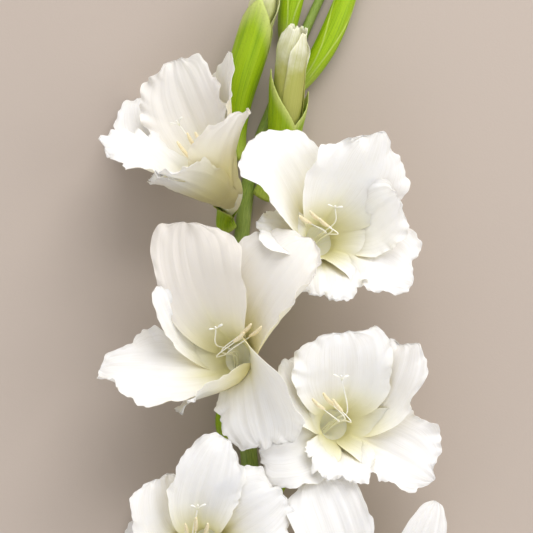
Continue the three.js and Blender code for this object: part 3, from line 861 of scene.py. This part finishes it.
def tepal_grid(floret, slot_name, shape):
    """The middle surface of a tepal: grid, normals, thickness and its own coordinates."""
    slot = SLOTS[slot_name]
    rows, radius, length = tepal_frames(
        floret, slot, shape["tip"], shape.get("curl", 20), shape.get("twist", 0)
    )
    half = shape.get("half", 25)
    sides = half if isinstance(half, tuple) else (half, half)
    cup, flare = shape.get("cup", 0.45), shape.get("flare", -0.15)
    blunt = shape.get("blunt", 2.4)
    phases = phases_of(100 * floret.number + slot, 12, 2 * math.pi)
    cells = TEPAL_CELLS
    u_mid = (np.arange(cells) + 0.5) / cells
    u_end = (np.arange(cells) + 1.0) / cells
    base = radius * math.radians(BASE_SPAN)
    grid, normals, widths = [], [], []
    for t, point, side, inward in rows:
        bend = section_bend(t, cup, flare)
        rolling = smooth((t - 0.15) / 0.4)
        narrowing = 1 - 0.5 * smooth(-t / 0.16)
        halves = []
        for sign, half_side, roll in ((-1, sides[0], 0), (1, sides[1], shape.get("roll_right", 0))):
            width = half_width(t, base, half_side, blunt) * narrowing
            mid, end = (
                (bend * part + roll * rolling * smooth((part - 0.35) / 0.65))[:, None]
                for part in (u_mid, u_end)
            )
            steps = (sign * np.cos(mid) * side + np.sin(mid) * inward) * (width / cells)
            half_normals = np.cos(end) * inward - sign * np.sin(end) * side
            halves.append((point + np.cumsum(steps, axis=0), half_normals, width))
        (left, left_normals, left_width), (right, right_normals, right_width) = halves
        grid.append(np.concatenate([left[::-1], [point], right]))
        normals.append(np.concatenate([left_normals[::-1], [inward], right_normals]))
        widths.append(np.repeat([left_width, right_width], [cells, cells + 1]))
    grid, normals, widths = np.array(grid), np.array(normals), np.array(widths)
    u = np.concatenate([-u_end[::-1], [0], u_end])[None, :]
    t = np.array([row[0] for row in rows])[:, None]
    ruffle = shape.get("ruffle", 1.0)
    spread, lift_off, margin, theta = petal_relief(u, t, widths, length, phases, ruffle)
    onward = np.gradient(grid[:, cells], axis=0)
    onward /= np.maximum(np.linalg.norm(onward, axis=-1, keepdims=True), 1e-9)
    onward = np.broadcast_to(onward[:, None], grid.shape)
    sideways = np.cross(onward, normals)
    sideways /= np.maximum(np.linalg.norm(sideways, axis=-1, keepdims=True), 1e-9)
    for turn, reach, spread_angle in shape.get("corners", ()):
        spread = spread + reach * margin**2 * smooth((t - 0.2) / 0.25) * np.exp(
            -(((theta - math.radians(turn)) / math.radians(spread_angle)) ** 2)
        )
    peak = shape.get("peak", 0.8)  # millimetres of point at the end of the midrib
    peaked = peak * smooth((t - 0.55) / 0.45) * np.exp(-((u * widths / 8.0) ** 2))
    grid = grid + onward * (spread * np.cos(theta) + peaked)[..., None]
    grid = grid + sideways * (spread * np.sin(theta))[..., None]
    grid = grid + normals * lift_off[..., None]
    normals = grid_normals(grid, normals)
    thickness = TEPAL_THICKNESS * (1 - 0.62 * margin**3) * (1 - 0.3 * smooth(-t / 0.1))
    along = np.broadcast_to(t, thickness.shape)
    across = np.broadcast_to(u, thickness.shape)
    # How far painted shade darkens this tepal where it lies in shade.
    cream = np.full(thickness.shape, shape.get("cream", 0.0))
    return grid, normals, thickness, {"along": along, "across": across, "cream": cream}


def sines(angle, *terms):
    """A sum of waves, each of them (size, rate, phase)."""
    return sum(size * np.sin(rate * angle + phase) for size, rate, phase in terms)


def petal_relief(u, t, widths, length, phases, strength):
    """How far the surface moves outwards in its own plane and off it, how near the margin
    each point is, and its direction from the middle of the blade."""
    x, y = u * widths, t * length
    theta = np.arctan2(x, np.maximum(y - 0.32 * length, 0.07 * length))
    tipness = smooth((t - 0.7) / 0.3) ** 1.5
    margin = 1 - (1 - np.abs(u) ** 2.2) * (1 - tipness)
    waves = sines(
        theta,
        (1.0, 9, phases[2] + sines(theta, (1.2, 2.3, phases[3]))),
        (0.8, 17, phases[4] + sines(theta, (1.5, 3.1, phases[5]))),
    )
    crimps = sines(
        theta,
        (0.62, 31, phases[6] + sines(theta, (1.4, 4.3, phases[1]))),
        (0.3, 53, phases[0]),
    )
    swell = 0.65 + sines(theta, (0.35, 3.3, phases[7]))
    fade = smooth((t - 0.28) / 0.3)
    ruffles = strength * fade * swell * (1.2 * margin**3 * waves + 1.05 * margin**4.5 * crimps)
    scallops = sines(
        theta, (0.9, 7, phases[8]), (0.6, 15, phases[9]), (0.35, 31, phases[6]), (0.2, 53, phases[5])
    )
    spread = strength * fade * margin**2 * scallops
    fold_fade = smooth((t - 0.05) / 0.3)
    folds = sines(
        math.pi * u,
        (0.24, 5, phases[8] + sines(t, (0.8, 4, phases[9]))),
        (0.13, 9, phases[10] + sines(t, (0.9, 3, phases[11]))),
        (0.08, 19, phases[2]),
    )
    folds = folds * fold_fade * (0.45 + 0.55 * t) * (1 - 0.5 * tipness)
    rib = -0.75 * np.exp(-((u / 0.07) ** 2)) * smooth(t / 0.15) * (1 - smooth((t - 0.55) / 0.4))
    return spread, ruffles + folds + rib, margin, theta


def skin_of(mesh):
    """A mesh's points and faces."""
    flat = np.zeros(len(mesh.vertices) * 3, np.float32)
    mesh.vertices.foreach_get("co", flat)
    return flat.reshape(-1, 3).astype(float), [list(p.vertices) for p in mesh.polygons]


def tree_of(mesh):
    points, faces = skin_of(mesh)
    return BVHTree.FromPolygons(points.tolist(), faces)


def largest_piece(points, faces):
    """The connected part with the most faces."""
    parent = np.arange(len(points))

    def root(k):
        while parent[k] != k:
            parent[k] = parent[parent[k]]
            k = parent[k]
        return k

    for face in faces:
        first = root(face[0])
        for other in face[1:]:
            found = root(other)
            if found != first:
                parent[found] = first
    owners = np.array([root(face[0]) for face in faces])
    names, counts = np.unique(owners, return_counts=True)
    chosen = names[np.argmax(counts)]
    kept = [face for face, owner in zip(faces, owners) if owner == chosen]
    used = sorted({k for face in kept for k in face})
    renumber = {old: new for new, old in enumerate(used)}
    return points[used], [[renumber[k] for k in face] for face in kept]


settled = []  # (solid with air around it, its search tree) of each tepal already in place


def giving_way(name, grid, normals, thickness):
    """A tepal's closed mesh, cut back where it would pass through one already in place."""
    points, faces = sheet_skin(grid, normals, thickness)
    made = in_frame(points), faces
    mesh = mesh_of(name, *made, {})
    own_tree = tree_of(mesh)
    cutters = [room for room, tree in settled if own_tree.overlap(tree)]
    if cutters:
        holder = add_object(name + "_uncut", mesh)
        for room in cutters:
            cut = holder.modifiers.new("give_way", "BOOLEAN")
            cut.operation = "DIFFERENCE"
            cut.solver = "MANIFOLD"
            cut.object = room
        shown = holder.evaluated_get(bpy.context.evaluated_depsgraph_get())
        made = largest_piece(*skin_of(shown.to_mesh()))
        shown.to_mesh_clear()
        bpy.data.objects.remove(holder)
    points, faces = sheet_skin(grid, normals, thickness + 2 * AIR)
    room = add_object(name + "_room", mesh_of(name + "_room", in_frame(points), faces, {}))
    room.hide_render = True
    settled.append((room, tree_of(room.data)))
    return made


def carried_values(grid_points, rows, columns, made_points, values):
    """The grid's values at its nearest spot to each made point, and which side the point is on."""
    quads = grid_quads(rows, columns)
    tree = BVHTree.FromPolygons(grid_points.tolist(), quads.tolist())
    flat = {key: value.ravel() for key, value in values.items()}
    out = {key: np.zeros(len(made_points)) for key in (*values, "inner")}
    corners_at = [Vector(p) for p in grid_points]
    for k, point in enumerate(made_points):
        spot, normal, face, _ = tree.find_nearest(Vector(point))
        out["inner"][k] = (Vector(point) - spot).dot(normal) > 0
        quad = quads[face]
        weights = poly_3d_calc([corners_at[q] for q in quad], spot)
        for key in values:
            out[key][k] = sum(w * flat[key][q] for w, q in zip(weights, quad))
    return out


def build_tepal(floret, slot_name):
    """A tepal with pleats and a ruffled edge, which gives way to those already in place."""
    node = f"{floret.name}_tepal_{slot_name}"
    grid, normals, thickness, values = tepal_grid(floret, slot_name, floret.tepals[slot_name])
    points, faces = giving_way(node, grid, normals, thickness)
    middle = in_frame(grid.reshape(-1, 3))
    carried = carried_values(middle, *grid.shape[:2], points, values)
    mesh = add_placed(node + "_sheet", (points, faces, carried), PETAL, "petal", node)
    mesh.set_sharp_from_angle(angle=math.radians(CREASE_ANGLE))


for floret in FLORETS:
    for slot_name in sorted(SLOTS, key=lambda key: SLOTS[key] % 2):
        build_tepal(floret, slot_name)

for room, _ in settled:
    bpy.data.objects.remove(room)

# ---- tubes, stamens and styles


def rod_part(curve, radius_at, steps, sides, section=np.ones_like):
    """A rod whose radius changes along it, times its section's factor at each angle."""
    angles = around(sides)
    shares = np.linspace(0, 1, steps + 1)
    factors = section(angles)
    rings = [
        ring_around(place, side, inward, radius_at(t) * factors, angles)
        for t, place, _, side, inward in frames_on(curve, shares, ROD_SIDE)
    ]
    values = {
        "along": capped([np.repeat(shares, sides)], (0, 1)),
        "across": capped([angles / math.pi - 1] * len(rings)),
    }
    return *ring_skin(rings), values


def build_tube(floret):
    """A fluted tube with a shallow hollow at its throat."""
    sides, rows = 60, 44
    angles = around(sides)
    rings, along = [], []
    outer_frames = frames_on(floret.line, np.linspace(0, 1, rows + 1), floret.dorsal)
    for t, place, _, side, inward in outer_frames:
        fluted = smooth((t - 0.15) / 0.4) * (1 - smooth((t - 0.8) / 0.2))
        lobed = 1 - smooth(t / 0.3)  # the ovary's three chambers
        flutes = 0.98 + 0.035 * np.cos(6 * angles) * fluted - 0.03 * np.cos(3 * angles) * lobed
        rings.append(ring_around(place, side, inward, tube_radius(t) * flutes, angles))
        along.append(np.full(sides, t))
    for t, place, _, side, inward in reversed(outer_frames):
        if t < HOLLOW_SHARE:
            continue
        widened = smooth((t - HOLLOW_SHARE) / (1 - HOLLOW_SHARE))
        hollow = mix(HOLLOW_RADIUS, tube_radius(t) - THROAT_WALL, widened)
        rings.append(ring_around(place, side, inward, np.full(sides, hollow), angles))
        along.append(np.full(sides, mix(0.8, 1.0, t)))
    values = {"across": capped([angles / math.pi - 1] * len(rings)), "along": capped(along, (0, 0.8))}
    part = (*ring_skin(rings), values)
    add_piece(f"{floret.name}_funnel", part, TUBE, "throat", f"{floret.name}_tube")


def build_stamens(floret):
    """Three filaments that bend at a knee, each with an anther across its head."""
    root = floret.line.point(STAMEN_ROOT)
    filaments, anthers = [], []
    for k in (-1, 0, 1):
        lean = math.sin(math.radians(STAMEN_SPREAD * k))
        neck = floret.place(3 * lean, 0.5 + 2 * abs(k), 0)
        knee = floret.place(9 * lean, 4 - 2 * abs(k), KNEE_HEIGHT)
        head = floret.place(13 * lean, -3 * abs(k), 0) + floret.stamens
        out = unit(head - knee)
        curve = catmull([root + floret.right * 1.7 * k, neck, knee, head])
        filaments.append(rod_part(curve, lambda t: mix(0.55, 0.3, t), 30, 10))
        low, high = head - out * 3, head + out * (ANTHER_LENGTH - 3)
        bow = floret.dorsal * 1.1
        low_middle, high_middle = low + out * 4 - bow * 0.2, high - out * 4 - bow * 0.2
        body = bezier(low + bow * 0.5, low_middle, high_middle, high + bow)
        anthers.append(rod_part(body, anther_radius, 28, 20, anther_section))
    add_piece(f"{floret.name}_filaments", merged(filaments), FILAMENT, "petal")
    add_piece(f"{floret.name}_anthers", merged(anthers), ANTHER, "throat")


def anther_radius(t):
    return 1.2 * math.sin(math.pi * mix(0.05, 0.95, t)) ** 0.4


def anther_section(angles):
    """Two pollen sacs, with a groove down each side."""
    return 1 - 0.3 * np.exp(-((np.abs(np.abs(angles - math.pi) - math.pi / 2)) / 0.3) ** 2)


def build_style(floret):
    """A style over the stamens, which ends in three lobes."""
    root = floret.line.point(STAMEN_ROOT)
    crown = floret.throat + floret.stigma
    neck, knee = floret.place(0, 3.5, 2), floret.place(0, 8, KNEE_HEIGHT * 1.2)
    line = catmull([root - floret.dorsal * 1.8, neck, knee, crown])
    onward = line.tangent(1)
    parts = [rod_part(line, lambda t: mix(0.5, 0.36, t), 40, 10)]
    for k in (-1, 0, 1):
        end = crown + floret.right * k * STIGMA_LENGTH * 0.7 + onward * STIGMA_LENGTH * 0.6
        bend = mix(crown, end, 0.6) + onward * 1.6
        arm = bezier(crown - onward * 0.4, crown + onward * 1.8, bend, end)
        parts.append(rod_part(arm, stigma_radius, 18, 12, stigma_section))
    add_piece(f"{floret.name}_style", merged(parts), FILAMENT, "petal")


def stigma_radius(t):
    """A thin arm that widens to a rounded lobe."""
    return (0.3 + 0.55 * smooth((t - 0.35) / 0.5)) * math.sqrt(max(0.04, 1 - t**8))


def stigma_section(angles):
    return np.sqrt(np.cos(angles) ** 2 + (STIGMA_FLATNESS * np.sin(angles)) ** 2)


# ---- spathes: the green bracts


def spathe_part(line, front, radius_at, outer, inner, fullness, loose, collar, seed):
    """A sleeve around a tube, notched into an outer valve at the front and an inner one.

    Outer and inner are the valves' shares of the line, and collar is how far the notch stays up.
    """
    columns, rows = 96, 40
    length = line.length
    outer_length, inner_length = length * outer, length * inner
    notch = math.radians(108)  # half of the way around that the outer valve covers
    steps = 240  # stations along the line that the sleeve is built from
    dense = frames_on(line, np.linspace(0, 1, steps + 1), front)
    phases = phases_of(seed, 2)

    def reach_at(angle):
        away = min(angle, 2 * math.pi - angle)
        if away < notch:
            return mix(collar, outer_length, (1 - away / notch) ** fullness), 1 - away / notch
        share = (away - notch) / (math.pi - notch)
        return mix(collar, inner_length, share**fullness), share

    angles = around(columns)
    outside, inside, edge, along = [], [], [], []
    for i in range(rows + 1):
        v = i / rows
        out_ring, in_ring, heights = [], [], []
        for angle in angles:
            reach, centred = reach_at(angle)
            height = mix(0.4, reach, v)
            place = min(1, height / length) * steps
            t, point, _, side, inward = dense[int(round(place))]
            out = side * math.cos(angle) - inward * math.sin(angle)
            ribs = 0.09 * math.cos(22 * angle + phases[0]) + 0.05 * math.cos(41 * angle + phases[1])
            flare = 0.9 * smooth((v - 0.75) / 0.25) * smooth(centred / 0.5)
            flare += loose * smooth(v / 0.5)
            radius = radius_at(t) + GAP + FACET_ROOM + 0.15 + flare + ribs
            thick = 0.55 * (1 - 0.7 * v**6)
            out_ring.append(point + out * (radius + thick))
            in_ring.append(point + out * radius)
            heights.append(height / outer_length)
        outside.append(np.array(out_ring))
        inside.append(np.array(in_ring))
        edge.append(np.full(columns, v))
        along.append(heights)
    rings = outside + inside[::-1]
    values = {
        "across": np.tile(np.abs(angles / math.pi - 1), len(rings)),
        "along": np.concatenate(along + along[::-1]),
        "edge": np.concatenate(edge + edge[::-1]),
    }
    return *ring_skin(rings, wrap=True), values


for floret in FLORETS:
    build_tube(floret)
    build_stamens(floret)
    build_style(floret)
    spathe = spathe_part(
        floret.line, floret.out, tube_radius, seed=40 + floret.number, **FLORET_BRACTS
    )
    add_piece(f"{floret.name}_bracts", spathe, BRACT, "spathe", f"{floret.name}_spathe")

# ---- buds

BUDS = [
    dict(
        name="bud_right", unripe=0.1, rise=300, outward=(0.85, 0, 0.5), front=(-0.95, 0, 0.2),
        tip=(22.1, 103.1, 25.3), radius=10,
        bracts=dict(outer=0.78, inner=0.66, fullness=1.0, loose=0.2, collar=50),
    ),
    dict(
        name="bud_left", unripe=0.85, rise=320, outward=(-0.85, 0, 0.35), front=(-0.35, 0, 0.9),
        tip=(19.6, 108, 18.8), radius=9,
        bracts=dict(outer=0.93, inner=0.86, fullness=0.3, loose=0.5, collar=30),
    ),
]


def furled_tepal(line, first_side, width, turn, seed):
    """One of three tepals rolled around each other: one edge outside, the other tucked in."""
    rows, columns = 70, 60
    span = math.radians(215)
    phases = phases_of(seed, 3)
    v = np.linspace(0, 1, rows)
    u = np.linspace(0, 1, columns)
    frames = frames_on(line, np.linspace(0, 1, 201), first_side)
    grid = np.zeros((rows, columns, 3))
    normals = np.zeros((rows, columns, 3))
    for j, uj in enumerate(u):
        peak = 0.9 + 0.1 * math.sin(math.pi * uj) ** 0.6 + 0.012 * math.sin(23 * uj + phases[0])
        for i, vi in enumerate(v):
            t = mix(0.02, min(1.0, peak), vi)
            _, point, _, side, inward = frames[int(round(t * 200))]
            angle = turn + span * uj + 0.9 * t
            out = side * math.cos(angle) - inward * math.sin(angle)
            opening = 2.2 * smooth((vi - 0.86) / 0.14) * (1 - uj)
            opening += 0.5 * math.sin(19 * uj + phases[1]) * vi**14
            pleat = 0.12 * math.sin(21 * uj + phases[2]) * smooth(vi / 0.3)
            radius = width(t) - 0.35 - 2.1 * uj + opening + pleat
            grid[i, j] = point + out * max(0.8, radius)
            normals[i, j] = out
    normals = grid_normals(grid, normals)
    # Columns run the way that turns the sheet's front outwards.
    grid, normals = grid[:, ::-1], normals[:, ::-1]
    thickness = np.full((rows, columns), 0.4) * (1 - 0.5 * v[:, None] ** 8)
    points, faces = sheet_skin(grid, normals, thickness)
    shape = (rows, columns)
    across = np.broadcast_to(2 * u[::-1][None, :] - 1, shape).ravel()
    along = np.broadcast_to(v[:, None], shape).ravel()
    return points, faces, {"across": np.tile(across, 2), "along": np.tile(along, 2)}


def bud_petal_material():
    shader = Shader("bud_petal", 0.0003, 0.5, (0.3, 0.003))
    unripe = shader.value("unripe")
    lines = shader.grain(24.0, 1.5, 2.0)
    mottle = shader.noise(120.0)
    green = shader.shade(lines, 0.3, 0.7, (0.34, 0.40, 0.08), (0.48, 0.51, 0.14))
    cream = shader.shade(lines, 0.3, 0.7, (0.46, 0.455, 0.11), (0.39, 0.40, 0.08))
    white = shader.shade(lines, 0.35, 0.7, (0.90, 0.885, 0.74), (0.80, 0.785, 0.52))
    height = shader.scaled(mottle, 0.25, shader.value("along"))
    body = shader.blend(unripe, cream, green)
    colour = shader.shade(height, 0.25, 0.7, green, body)
    top = shader.blend(unripe, white, (0.62, 0.63, 0.30))
    colour = shader.shade(height, 0.86, 1.16, colour, top)
    return shader.finished(colour, shader.scaled(mottle, 0.2, 0.4), lines)


BUD_PETAL = bud_petal_material()


def build_bud(name, unripe, rise, outward, front, tip, radius, bracts):
    """Three furled tepals around a core, in two bracts."""
    point, direction, _ = base_on(rise, outward, BUD_BASE_ANGLE, OVARY_RADIUS)
    tip, front = vec(*tip), vec(*front)
    line = tube_line(point, direction, point + tip, unit(tip))

    def width(t):
        return mix(OVARY_RADIUS, radius, smooth(t / 0.6)) * (1 - 0.42 * smooth((t - 0.86) / 0.14))

    def core(t):
        return max(0.6, (width(t) - 3.4) * (1 - smooth((t - 0.8) / 0.18)))

    layers = [furled_tepal(line, front, width, turn, 70 + turn) for turn in (0.4, 2.5, 4.6)]
    layers.append(rod_part(line, core, 60, 36))
    points, faces, values = merged(layers)
    values["unripe"] = np.full(len(points), unripe)
    add_piece(f"{name}_furled", (points, faces, values), BUD_PETAL, "petal", f"{name}_petals")
    spathe = spathe_part(line, front, width, seed=90, **bracts)
    add_piece(f"{name}_bracts", spathe, BRACT, "spathe", f"{name}_spathe")


for bud in BUDS:
    build_bud(**bud)

TIP_BUDS = [
    dict(rise=370, outward=(0.95, 0, 0.35), tip=(48.7, 97.5, 5.6), radius=7.2),
    dict(rise=396, outward=(-0.9, 0, 0.4), tip=(15.5, 75.3, 11.5), radius=7.4),
    dict(rise=456, outward=(0.5, 0, 0.85), tip=(23.2, 56.5, 15.5), radius=5.6),
    dict(rise=466, outward=(-0.9, 0, 0.4), tip=(8.4, 62.2, 10.1), radius=4.8),
]


def build_tip_bud(number, rise, outward, tip, radius):
    """A closed green bud: an outer bract laps over the inner one, down to a V at the front."""
    point, direction, _ = base_on(rise, outward, TIP_BUD_BASE_ANGLE, radius * 0.5)
    tip = vec(*tip)
    line = tube_line(point, direction, point + tip, unit(tip))
    sides, rows = 120, 110
    angles = around(sides)
    rings, along, edge = [], [], []
    shares = np.linspace(0, 1, rows + 1)
    for t, place, _, side, inward in frames_on(line, shares, vec(0.2, 0, 1)):
        width = radius * math.sqrt(math.sin(math.pi * mix(0.06, 0.992, t**0.8)))
        lap = math.radians(12 + 100 * smooth((t - 0.12) / 0.8))
        away = np.minimum(angles, 2 * math.pi - angles)
        outer = smooth((away - lap) / 0.07)
        ribs = 0.012 * np.cos(26 * angles) + 0.008 * np.cos(45 * angles + 1)
        section = width * (0.93 + ribs + 0.055 * outer)
        rings.append(ring_around(place, side, inward, section, angles))
        along.append(np.full(sides, t))
        edge.append(0.8 + 0.12 * np.exp(-(((away - lap - 0.05) / 0.09) ** 2)) * (t > 0.1))
    values = {
        "across": capped([np.abs(angles / math.pi - 1)] * len(rings)),
        "along": capped(along, (0, 1)),
        "edge": capped(edge, (0.8, 0.9)),
    }
    node = f"tip_bud_{number}"
    add_piece(node + "_bracts", (*ring_skin(rings), values), BRACT, "spathe", node)


for number, bud in enumerate(TIP_BUDS, 1):
    build_tip_bud(number, **bud)

# ---- leaves

LEAVES = [
    dict(
        name="leaf_lower", rise=-174, half=12,
        course=[(13, 0, 5), (19, 60, 4), (31, 130, 3), (46, 194, 0.2)],
    ),
    dict(
        name="leaf_upper", rise=-94, half=10,
        course=[(-15, 0, 5), (-20, 40, 4), (-34, 88, 3), (-47, 124, 0.2)],
    ),
]
LEAF_FOLD = 0.9
SHEATH_ROWS = 36
SHEATH_LENGTH = 46  # of a leaf's foot around the stem


def build_leaf(name, rise, half, course):
    """A folded sword-shaped leaf whose foot clasps the stem."""
    rows, columns = 130, 41
    t_root = stem_line.share_at(stem_share(rise))
    root = stem_line.point(t_root) * vec(1, 1, 0)
    line = catmull([vec(*step) + root for step in course])
    u = np.linspace(-1, 1, columns)
    veins = 0.13 * np.cos(14 * math.pi * u) + 0.06 * np.cos(31 * math.pi * u)
    (phase,) = phases_of(len(name), 1)
    grid, outward = [], []
    for t, place, _, side, inward in frames_on(line, np.linspace(0, 1, rows), vec(1, 0, 0)):
        width = half * max(0.04, math.sin(math.pi * mix(0.22, 0.985, t)))
        wave = 0.5 * math.sin(13 * t + phase) * smooth(t / 0.3)
        fold = LEAF_FOLD * mix(1.0, 0.75, smooth((t - 0.3) / 0.7))
        keel = np.sqrt(u * u + 0.006) - math.sqrt(0.006)
        row = place + np.outer(u * width * math.cos(fold), side)
        row += np.outer(keel * width * math.sin(fold), inward)
        row += np.outer(veins * (1 - 0.6 * np.abs(u)) + wave * np.abs(u) * np.sign(u) * 0.8, inward)
        grid.append(row)
        outward.append(np.tile(inward, (columns, 1)))
    grid, outward = np.array(grid), np.array(outward)
    leaf_side = math.copysign(1, course[0][0])
    first_row = grid[0].copy()
    sheath, sheath_out = [], []
    for k in range(SHEATH_ROWS):
        v = k / SHEATH_ROWS
        back = rise - SHEATH_LENGTH * (1 - v)
        share = stem_share(max(back, -STEM_BARE_LENGTH + 3))
        t = stem_line.share_at(share)
        centre, tangent = stem_line.point(t), stem_line.tangent(t)
        up = square_to(tangent, vec(0, 0, 1))
        side = np.cross(tangent, up) * leaf_side
        wrap = math.radians(mix(172, 70, smooth(v)))
        tilt = mix(0.0, -0.35, v)
        angle = u * wrap * leaf_side + tilt
        radius = stem_radius(share) + 0.55 + 2.5 * v**3
        out = np.outer(np.cos(angle), side) + np.outer(np.sin(angle), up)
        arc = centre + out * (radius + 0.25 * veins[:, None])
        travel = centre - stem_line.point(t_root)
        straight = first_row + travel * vec(0.3, 1, 0)
        blend = smooth((v - 0.25) / 0.75)
        sheath.append(mix(arc, straight, blend))
        sheath_out.append(mix(-out, outward[0], blend))
    grid = np.concatenate([np.array(sheath), grid])
    outward = np.concatenate([np.array(sheath_out), outward])
    normals = grid_normals(grid, outward)
    thickness = np.full(grid.shape[:2], 0.75) * (1 - 0.5 * np.abs(u)[None, :] ** 6)
    count = len(grid)
    values = {
        "across": np.tile(u, 2 * count),
        "along": np.tile(np.repeat(np.linspace(0, LONG_GRAIN, count), columns), 2),
    }
    add_piece(name + "_blade", (*sheet_skin(grid, normals, thickness), values), LEAF, "leaf", name)


for leaf in LEAVES:
    build_leaf(**leaf)

# ---- floor, light and camera


def add_floor():
    """The pale surface under the spike, wider than any view of it."""
    ticks = np.linspace(-FLOOR_REACH, FLOOR_REACH, 9)
    points = [(x, y, 0.0) for y in ticks for x in ticks]
    mesh = bpy.data.meshes.new("floor")
    mesh.from_pydata(points, [], grid_quads(len(ticks), len(ticks)).tolist())
    mesh.materials.append(FLOOR)
    floor = add_object("floor", mesh)


def add_area_light(name, place, size, power, colour):
    """A square light that shines at the middle of the view."""
    lamp = bpy.data.lights.new(name, "AREA")
    lamp.size = size
    lamp.energy = power
    lamp.color = colour
    made = add_object(name, lamp)
    made.location = place
    made.rotation_euler = (target - Vector(place)).to_track_quat("-Z", "Y").to_euler()


add_floor()

VIEW_CENTRE = vec(2.7, 0, 40)  # among the florets, in the design's millimetres
target = Vector((VIEW_CENTRE + row_shift) * MM)

# Each light: name, place and side in metres, watts, colour.
add_area_light("key_soft", (0.45, 1.65, 1.3), 1.5, 35, (1.0, 0.985, 0.965))
add_area_light("side_soft", (1.6, 0.2, 1.3), 1.2, 8, (1.0, 0.99, 0.98))
add_area_light("fill_soft", (-0.3, -1.3, 1.6), 1.6, 6, (1.0, 0.99, 0.98))

WORLD_COLOUR = (1.0, 0.985, 0.97, 1.0)
WORLD_STRENGTH = 0.62

world = bpy.data.worlds.new("studio")
bpy.context.scene.world = world
world.use_nodes = True
background = world.node_tree.nodes["Background"]
background.inputs["Color"].default_value = WORLD_COLOUR
background.inputs["Strength"].default_value = WORLD_STRENGTH

VIEW_WIDTH = 0.320  # metres across the picture, at the florets' height
CAMERA_DISTANCE = 1.5
SENSOR_WIDTH = 36

lens = bpy.data.cameras.new("camera")
lens.sensor_width = SENSOR_WIDTH
lens.lens = SENSOR_WIDTH * CAMERA_DISTANCE / VIEW_WIDTH
camera = add_object("camera", lens)
camera.location = target + Vector((0, 0, CAMERA_DISTANCE))
camera.rotation_euler = (0, 0, 0)
bpy.context.scene.camera = camera
bpy.context.scene.view_settings.view_transform = "Standard"
